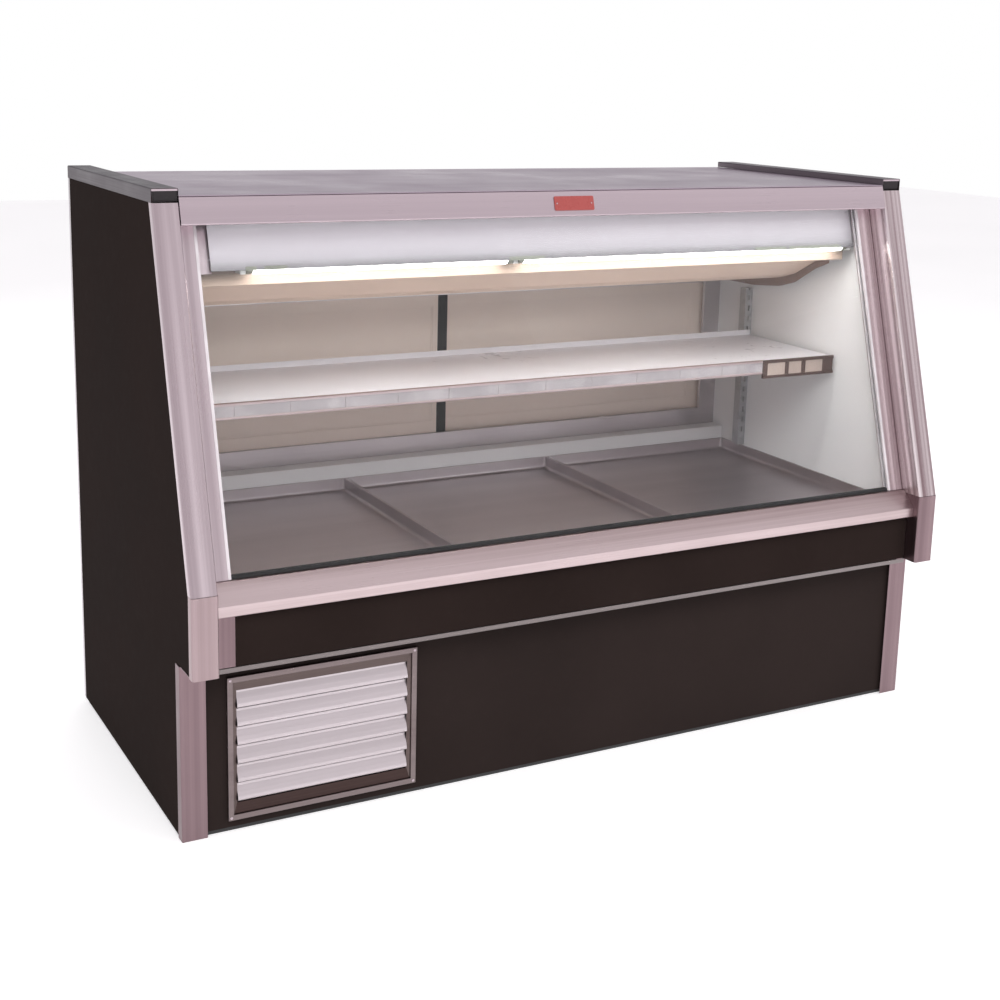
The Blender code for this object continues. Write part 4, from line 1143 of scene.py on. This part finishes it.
def make_lamp_tube(word):
    """A tube with rounded shoulders, and a metal cap at each end."""
    lamp = Span(f"lamp_tube_{word}")
    radius, length, cap = (lamp.size.z / 2, lamp.size.x, 0.014)
    tube = [
        (0.0, cap - 0.002), (radius - 0.0006, cap - 0.002), (radius, cap + 0.004),
        (radius, length - cap - 0.004), (radius - 0.0006, length - cap + 0.002),
        (0.0, length - cap + 0.002),
    ]
    bm = bmesh.new()
    add_turned(bm, tube, (lamp.x0, lamp.middle.y, lamp.middle.z), X, 32)
    add_piece(f"lamp_tube_{word}_glass", bm, "lamp", stands_for=(f"lamp_tube_{word}",))
    end_cap = [
        (0.0, 0.0), (radius - 0.0022, 0.0), (radius - 0.0008, 0.0008), (radius + 0.0001, 0.0022),
        (radius + 0.0001, cap - 0.002), (radius - 0.0005, cap), (0.0, cap),
    ]
    bm = bmesh.new()
    for x, way in ((lamp.x0, 1), (lamp.x1, -1)):
        add_turned(bm, end_cap, (x, lamp.middle.y, lamp.middle.z), X * way, 32)
    add_piece(f"lamp_tube_{word}_caps", bm, "lamp_cap")


# ---------------------------------------------------------------- rear
def screw_grid(y, *groups):
    """Every x with every z of each group, on the plane at y."""
    return [(x, y, z) for xs, zs in groups for x in xs for z in zs]


def make_rear():
    """The door frame with its track ribs and screws, both doors and the service panel."""
    refined("rear_door_frame", "steel_rear_x", 0.0006)
    opening = 0.7895             # half the width between the frame's stiles
    low_track = (0.5649, 0.5717)
    high_track = (0.9356, 0.9364)
    bm = bmesh.new()
    for z0, z1 in (low_track, high_track):
        for y in (0.4013, 0.4025):
            add_box(bm, -opening, opening, y - 0.0003, y + 0.0003, z0, z1)
    add_piece("rear_track_ribs", bm, "grey_plastic")
    stile = 0.815
    rails = (-stile, -0.48, -0.16, 0.16, 0.48, stile)
    places = screw_grid(
        DOOR_FRAME.y1, (rails, (DOOR_FRAME.z0 + 0.017, 0.951)), ((-stile, stile), (0.65, 0.75, 0.85)),
        ((-0.80, -0.40, 0.0, 0.40, 0.80), (0.99, 1.205)),
    )
    screws_piece("rear_frame_screws", places, Y, "steel_x")
    for side, word in SIDES:
        make_door(side, word)
    make_service_panel()


def make_door(side, word):
    """A sliding door: its panel, the beads of both faces, the meeting strip and the pull."""
    body = f"rear_door_{word}"
    door = Span(body)
    stile, bead = (0.040, 0.004)
    refined(body, "door", 0.0008, body)
    bm = bmesh.new()
    for y0, y1 in ((door.y0 + 0.0008, door.y0 + 0.0022), (door.y1 - 0.0022, door.y1 - 0.0008)):
        add_border(
            bm, door.x0 + stile, door.x1 - stile, y0, y1, door.z0 + stile, door.z1 - stile,
            bead, 0.0005,
        )
    add_piece(f"rear_door_{word}_bead", bm, "door", body)
    meeting = door.x1 if side < 0 else door.x0
    x0, x1 = sorted((meeting, meeting + side * 0.026))
    bm = bmesh.new()
    face = door.y0 - 0.0006
    add_box(bm, x0, x1, face, face + 0.0008, door.z0 + 0.002, door.z1 - 0.002, 0.0003)
    add_piece(f"rear_door_{word}_meeting_strip", bm, "rubber", body)
    pull = door.x0 + 0.016 if side < 0 else door.x1 - 0.032
    wide, rim, deep = (0.016, 0.0011, 0.0052)
    z0, z1 = (0.6904, 0.8096)
    y1 = door.y1 + 0.0004
    y0 = y1 - deep
    inner_x0, inner_x1 = (pull + rim + CLEAR, pull + wide - rim - CLEAR)
    bm = bmesh.new()
    add_box(bm, pull + CLEAR, inner_x0, y0, y1, z0, z1, 0.0004)
    add_box(bm, inner_x1, pull + wide - CLEAR, y0, y1, z0, z1, 0.0004)
    add_box(bm, inner_x0, inner_x1, y0, y1, z0, z0 + 0.0014, 0.0004)
    add_box(bm, inner_x0, inner_x1, y0, y1, z1 - 0.0014, z1, 0.0004)
    add_box(bm, pull + rim, pull + wide - rim, y0, y0 + 0.0008, z0 + 0.0008, z1 - 0.0008)
    add_piece(f"rear_door_{word}_pull_cup", bm, "black_plastic", body)


def make_service_panel():
    """The service panel, a pressed hood over every vent slot, and its screws."""
    refined("rear_service_panel", "galvanised", 0.0004)
    face = SERVICE.y1
    half, gauge = (0.165, 0.0008)
    reach, rise = (0.0062, 0.0125)
    first_row, pitch, rows = (0.080, 0.030, 7)
    quarter = [math.pi / 2 * step / 6 for step in range(7)]
    bm = bmesh.new()
    for centre in (-0.60, -0.05):
        for row in range(rows):
            foot = first_row + row * pitch - 0.0015
            outline = [(face + reach * math.sin(a), foot + rise * math.cos(a)) for a in quarter]
            inner = [(y - gauge if i else y, z - 0.0009) for i, (y, z) in enumerate(outline)]
            add_extrusion(bm, [*outline, *reversed(inner)], along_x, centre - half, centre + half)
            for x in (centre - half, centre + half - gauge):
                add_extrusion(bm, [(face, foot), *reversed(outline)], along_x, x, x + gauge)
    add_piece("rear_service_louvre_hoods", bm, "galvanised", smooth=40)
    places = screw_grid(
        face, ((-0.875, -0.44, 0.0, 0.44, 0.875), (0.030, 0.345)),
        ((-0.82, -0.41, 0.0, 0.41, 0.82), (0.385, 0.512)),
    )
    screws_piece("rear_service_screws", places, Y, "galvanised")


def make_controls():
    """The control box with its screws, the thermostat's dial and the light switch."""
    refined("control_box", "black_metal", 0.0008)
    face = Span("control_box").y1
    make_thermostat(face)
    make_light_switch(face)
    places = screw_grid(face, ((0.452, 0.698), (0.122, 0.258)))
    screws_piece("control_box_screws", places, Y, "galvanised", 0.0026, 0.0011)


def make_thermostat(face):
    """A turned knob with grip ribs and a pointer, and the marks round it."""
    knob = Span("thermostat_knob")
    centre = Vector((knob.middle.x, knob.y0, knob.middle.z))
    bm = bmesh.new()
    profile = [
        (0.0, 0.0), (0.0190, 0.0), (0.0198, 0.0006), (0.0200, 0.0018), (0.0200, 0.0034),
        (0.0195, 0.0042), (0.0164, 0.0052), (0.0156, 0.0060), (0.0147, 0.0186), (0.0141, 0.0198),
        (0.0128, 0.0204), (0.0, 0.0205),
    ]
    add_turned(bm, profile, centre, Y, 48)
    ribs = 18
    for step in range(ribs):
        verts = add_box(bm, 0.0144, 0.0160, 0.0075, 0.0180, -0.0008, 0.0008)
        move = Matrix.Translation(centre) @ Matrix.Rotation(2 * math.pi * step / ribs, 4, "Y")
        bmesh.ops.transform(bm, matrix=move, verts=verts)
    add_piece("thermostat_knob_turned", bm, "black_plastic", "thermostat_knob", ("thermostat_knob",))
    bm = bmesh.new()
    add_box(
        bm, centre.x - 0.0008, centre.x + 0.0008, centre.y + 0.0200, centre.y + 0.0209,
        centre.z + 0.003, centre.z + 0.0125, 0.0003,
    )
    add_piece("thermostat_knob_pointer", bm, "card", "thermostat_knob")
    bm = bmesh.new()
    marks, first, sweep = (11, 225, 270)
    inner = 0.0235
    for step in range(marks):
        angle = math.radians(first - sweep * step / (marks - 1))
        length = 0.006 if step % 5 == 0 else 0.004
        verts = add_box(bm, inner, inner + length, -0.0001, 0.0003, -0.0005, 0.0005)
        move = Matrix.Translation((centre.x, face, centre.z)) @ Matrix.Rotation(-angle, 4, "Y")
        bmesh.ops.transform(bm, matrix=move, verts=verts)
    add_piece("thermostat_dial_marks", bm, "card")


def make_light_switch(face):
    """The rocker and the bezel round it."""
    switch = Span("light_switch")
    refined("light_switch", "black_plastic", 0.0006, "light_switch")
    reach = 0.0045
    bm = bmesh.new()
    add_border(
        bm, switch.x0 - reach, switch.x1 + reach, face, face + 0.0018,
        switch.z0 - reach, switch.z1 + reach, 0.0035, 0.0005,
    )
    add_piece("light_switch_bezel", bm, "black_plastic")


# ---------------------------------------------------------------- refrigeration
def make_coil(node, name, fins, tube_rows):
    """Thin fins on copper tubes between two end plates."""
    coil = Span(node)
    plate = 0.0016
    bore = 0.0048                # radius of the copper tubes
    y0, y1 = (coil.y0 + 0.006, coil.y1 - 0.006)
    z0, z1 = (coil.z0 + 0.012, coil.z1 - 0.008)
    bm = bmesh.new()
    for number in range(fins):
        x = coil.x0 + 0.004 + (coil.size.x - 0.008) * number / (fins - 1)
        add_box(bm, x - 0.00015, x + 0.00015, y0, y1, z0, z1)
    add_piece(f"{name}_fins", bm, "fins", stands_for=(node,))
    bm = bmesh.new()
    for x in (coil.x0, coil.x1 - plate):
        add_box(bm, x, x + plate, coil.y0, coil.y1, coil.z0, coil.z1, 0.0004)
    add_piece(f"{name}_end_plates", bm, "galvanised")
    y = coil.middle.y
    margin = 0.030
    step = (coil.size.z - 2 * margin) / (tube_rows - 1)
    rows = [coil.z0 + margin + step * number for number in range(tube_rows)]
    half_turn = [-math.pi / 2 + math.pi * part / 12 for part in range(13)]
    bm = bmesh.new()
    for z in rows:
        add_tube(bm, [(coil.x0 - 0.004, y, z), (coil.x1 + 0.004, y, z)], bore)
    for number, (low, high) in enumerate(zip(rows, rows[1:])):
        end, way = (coil.x1, 1) if number % 2 == 0 else (coil.x0, -1)
        middle, radius = ((low + high) / 2, (high - low) / 2)
        reach = min(radius, 0.014)
        bend = [
            (end + way * (0.003 + reach * math.cos(a)), y, middle + radius * math.sin(a))
            for a in half_turn
        ]
        add_tube(bm, bend, bore)
    add_piece(f"{name}_tubes", bm, "copper")


def make_compressor():
    """The domed shell, its plate on rubber feet and its terminal box."""
    shell = Span("compressor")
    cx, cy = shell.middle.x, shell.middle.y
    z = shell.z0
    bm = bmesh.new()
    profile = [
        (0.0, 0.008), (0.060, 0.008), (0.076, 0.012), (0.080, 0.030), (0.086, 0.046), (0.092, 0.066),
        (0.0945, 0.088), (0.0945, 0.098), (0.0960, 0.099), (0.0965, 0.103), (0.0960, 0.107),
        (0.0940, 0.108), (0.0930, 0.130), (0.0890, 0.150), (0.0810, 0.169), (0.0680, 0.183),
        (0.0480, 0.192), (0.0240, 0.196), (0.0, 0.197),
    ]
    add_turned(bm, profile, (cx, cy, z), Z, 56)
    add_piece("compressor_shell", bm, "black_metal", stands_for=("compressor",))
    foot = [(0.0, 0.0), (0.012, 0.0), (0.010, 0.004), (0.010, 0.0074), (0.0, 0.0074)]
    stud = [
        (0.0, 0.0104), (0.008, 0.0104), (0.008, 0.0125), (0.0045, 0.0126), (0.0045, 0.018), (0.0, 0.0182),
    ]
    bm = bmesh.new()
    add_box(bm, cx - 0.105, cx + 0.105, cy - 0.060, cy + 0.060, z + 0.0075, z + 0.0105, 0.0008)
    for x in (cx - 0.090, cx + 0.090):
        for y in (cy - 0.045, cy + 0.045):
            add_turned(bm, foot, (x, y, z), Z, 20)
            add_turned(bm, stud, (x, y, z), Z, 20)
    add_box(bm, cx + 0.082, cx + 0.122, cy - 0.030, cy + 0.030, z + 0.075, z + 0.145, 0.004)
    add_piece("compressor_feet_and_terminal_box", bm, "black_metal")


def make_refrigerant_lines():
    """The discharge line to the condenser, and the suction and liquid lines to the deck."""
    shell = Span("compressor")
    coil = Span("condenser_coil")
    cx, cy, z = (shell.middle.x, shell.middle.y, shell.z0)
    past_left, past_right = (coil.x0 - 0.006, coil.x1 + 0.040)
    deck = 0.350                 # where the lines end, under the deck
    discharge = [
        (cx - 0.060, cy - 0.060, z + 0.155), (cx - 0.080, cy - 0.095, z + 0.155),
        (cx - 0.080, cy - 0.160, z + 0.235), (-0.760, coil.y1 + 0.020, z + 0.235),
        (past_left, coil.y1 + 0.006, coil.z1 - 0.030), (past_left, coil.middle.y, coil.z1 - 0.030),
    ]
    suction = [
        (cx + 0.060, cy + 0.055, z + 0.160), (cx + 0.090, cy + 0.085, z + 0.160),
        (cx + 0.090, 0.310, z + 0.160), (0.250, 0.310, z + 0.160), (0.250, 0.310, deck),
    ]
    liquid = [
        (coil.x1 + 0.006, coil.middle.y, coil.z0 + 0.030), (past_right, coil.middle.y, coil.z0 + 0.030),
        (past_right, -0.150, coil.z0 + 0.060), (past_right, 0.350, coil.z0 + 0.060),
        (0.270, 0.350, coil.z0 + 0.060), (0.270, 0.350, deck),
    ]
    bm = bmesh.new()
    add_tube(bm, smooth_route(discharge, 0.018), 0.0040)
    add_tube(bm, smooth_route(suction, 0.030), 0.0060)
    add_tube(bm, smooth_route(liquid, 0.030), 0.0035)
    add_piece("refrigerant_lines", bm, "copper")


def make_fan(name, finish, y_back, ring_radius, depth):
    """The blades on their own body, with a hub cap, inside a fixed ring."""
    fan = Span(name)
    refined(name, finish, 0.0003, name)
    cx, _, cz = fan.middle
    hub = [(0.0, 0.0), (0.009, 0.0), (0.008, 0.003), (0.004, 0.0045), (0.0, 0.0048)]
    bm = bmesh.new()
    add_turned(bm, hub, (cx, fan.y0, cz), -Y, 24)
    add_piece(f"{name}_hub_cap", bm, "galvanised", name)
    inner, outer, y_front = (ring_radius, ring_radius + 0.0016, y_back - depth)
    sides = 48
    turns = [2 * math.pi * s / sides for s in range(sides)]
    bm = bmesh.new()
    rings = [
        [bm.verts.new((cx + radius * math.cos(a), y, cz + radius * math.sin(a))) for a in turns]
        for radius, y in ((inner, y_back), (outer, y_back), (outer, y_front), (inner, y_front))
    ]
    bridge(bm, [*rings, rings[0]])
    add_piece(f"{name}_shroud", bm, "black_metal")


def make_condensate():
    """The condensate pan with its rolled rim, and the pipe that drains the deck."""
    pan = Span("condensate_pan")
    refined("condensate_pan", "galvanised", 0.0005)
    rim_z = pan.z1 - 0.001
    loop = [
        (pan.x0, pan.y0, rim_z), (pan.x1, pan.y0, rim_z),
        (pan.x1, pan.y1, rim_z), (pan.x0, pan.y1, rim_z),
    ]
    bm = bmesh.new()
    for start, end in zip(loop, loop[1:] + loop[:1]):
        add_tube(bm, [start, end], 0.0022, 10)
    add_piece("condensate_pan_rolled_rim", bm, "galvanised")
    x = -0.120
    route = [(x, 0.180, 0.359), (x, 0.180, 0.240), (x, 0.200, 0.160), (x, 0.200, 0.100)]
    bm = bmesh.new()
    add_tube(bm, smooth_route(route, 0.03), 0.010, 16)
    add_piece("deck_drain_pipe", bm, "grey_plastic")


def make_refrigeration():
    """The condensing unit in the base, and the evaporator over the canopy."""
    make_coil("condenser_coil", "condenser", 84, 8)
    make_fan("condenser_fan", "black_metal", -0.200, 0.1075, 0.030)
    refined("fan_motor", "black_metal", 0.0008)
    make_compressor()
    make_refrigerant_lines()
    make_condensate()
    make_coil("evaporator_coil", "evaporator", 120, 6)
    make_fan("evaporator_fan", "black_plastic", 0.349, 0.0845, 0.022)
    refined("evaporator_motor", "black_metal", 0.0010)


# ---------------------------------------------------------------- stage, light and camera
def area_light(name, place, target, size, watts):
    """A soft rectangular light turned to its target and hidden from reflections."""
    data = bpy.data.lights.new(name, "AREA")
    data.shape = "RECTANGLE"
    data.size, data.size_y = size
    data.energy = watts
    obj = bpy.data.objects.new(name, data)
    bpy.context.scene.collection.objects.link(obj)
    obj.location = place
    obj.rotation_euler = (Vector(target) - Vector(place)).to_track_quat("-Z", "Y").to_euler()
    obj.visible_glossy = False


def make_floor():
    """A plain pale floor that lifts its own tone a little."""
    bm = bmesh.new()
    bmesh.ops.create_grid(bm, x_segments=1, y_segments=1, size=14.0)
    mesh = bpy.data.meshes.new("studio_floor")
    bm.to_mesh(mesh)
    bm.free()
    floor = bpy.data.objects.new("studio_floor", mesh)
    bpy.context.scene.collection.objects.link(floor)
    floor.location.z = -0.0006
    finish = Finish("studio_floor_paint")
    cloud = finish.noise((0.8, 0.8, 0.8), 3.0)
    tone = finish.ramp(cloud, (0.3, (0.86, 0.86, 0.86)), (0.7, (0.88, 0.88, 0.88)))
    finish.feed(finish.surface.inputs["Emission Color"], tone)
    finish.surface.inputs["Emission Strength"].default_value = 0.38
    mesh.materials.append(finish.finish(tone, finish.spread(cloud, 0.65, 0.75)))


def make_air():
    """Air for the steel to reflect: pale in front, and behind the case darker overhead."""
    world = bpy.data.worlds.new("studio_air")
    bpy.context.scene.world = world
    world.use_nodes = True
    background = world.node_tree.nodes["Background"]
    tree = world.node_tree
    place = tree.nodes.new("ShaderNodeTexCoord")
    split = tree.nodes.new("ShaderNodeSeparateXYZ")
    tree.links.new(place.outputs["Generated"], split.inputs["Vector"])
    shades = []
    for axis, near, far in (
        ("Z", (0.13, (1.0, 1.0, 1.0, 1.0)), (0.26, (0.42, 0.40, 0.43, 1.0))),
        ("Y", (0.0, (1.0, 1.0, 1.0, 1.0)), (0.25, (0.0, 0.0, 0.0, 1.0))),
    ):
        ramp = tree.nodes.new("ShaderNodeValToRGB")
        tree.links.new(split.outputs[axis], ramp.inputs["Fac"])
        for point, (position, colour) in zip(ramp.color_ramp.elements, (near, far)):
            point.position = position
            point.color = colour
        shades.append(ramp.outputs["Color"])
    mix = tree.nodes.new("ShaderNodeMix")
    mix.data_type = "RGBA"
    sockets = {socket.identifier: socket for socket in [*mix.inputs, *mix.outputs]}
    tree.links.new(shades[1], sockets["Factor_Float"])
    tree.links.new(shades[0], sockets["A_Color"])
    sockets["B_Color"].default_value = (0.90, 0.87, 0.89, 1.0)
    tree.links.new(sockets["Result_Color"], background.inputs["Color"])
    background.inputs["Strength"].default_value = 1.0


def make_lights():
    """A key light at the front left, a fill at the front right and one behind."""
    area_light("key_light", (-1.8, -4.2, 4.2), (0.0, 0.0, 0.6), (3.4, 2.4), 150.0)
    area_light("fill_light", (3.4, -3.4, 3.4), (0.2, 0.0, 0.6), (3.0, 2.4), 60.0)
    area_light("back_light", (0.0, 4.5, 4.0), (0.0, 0.2, 0.7), (4.0, 2.4), 90.0)


def make_camera():
    """The camera stands at the front left, a little above the case.

    Its place and angles were solved from the corners and edges of the case.
    """
    place = Vector((-1.6869, -3.0335, 1.4685))
    yaw, pitch, roll = (math.radians(a) for a in (28.4793, -11.9647, 1.4646))
    forward = Vector((
        math.sin(yaw) * math.cos(pitch), math.cos(yaw) * math.cos(pitch), math.sin(pitch)
    ))
    level = Vector((math.cos(yaw), -math.sin(yaw), 0.0))
    raised = level.cross(forward)
    right = level * math.cos(roll) + raised * math.sin(roll)
    up = raised * math.cos(roll) - level * math.sin(roll)
    data = bpy.data.cameras.new("photo_camera")
    camera = bpy.data.objects.new("photo_camera", data)
    bpy.context.scene.collection.objects.link(camera)
    turn = Matrix((right, up, -forward)).transposed().to_4x4()
    camera.matrix_world = Matrix.Translation(place) @ turn
    data.sensor_width = 36.0
    data.lens = 55.6578
    data.shift_y = -0.1
    data.clip_start, data.clip_end = (0.05, 100.0)
    bpy.context.scene.camera = camera


bpy.context.scene.view_settings.view_transform = "Standard"
make_camera()
make_floor()
make_air()
make_lights()
make_base()
make_grille()
make_ends()
make_sill_and_apron()
make_glazing()
make_fascia_and_top()
make_pans()
make_shelf()
make_canopy()
make_rear()
make_controls()
make_refrigeration()
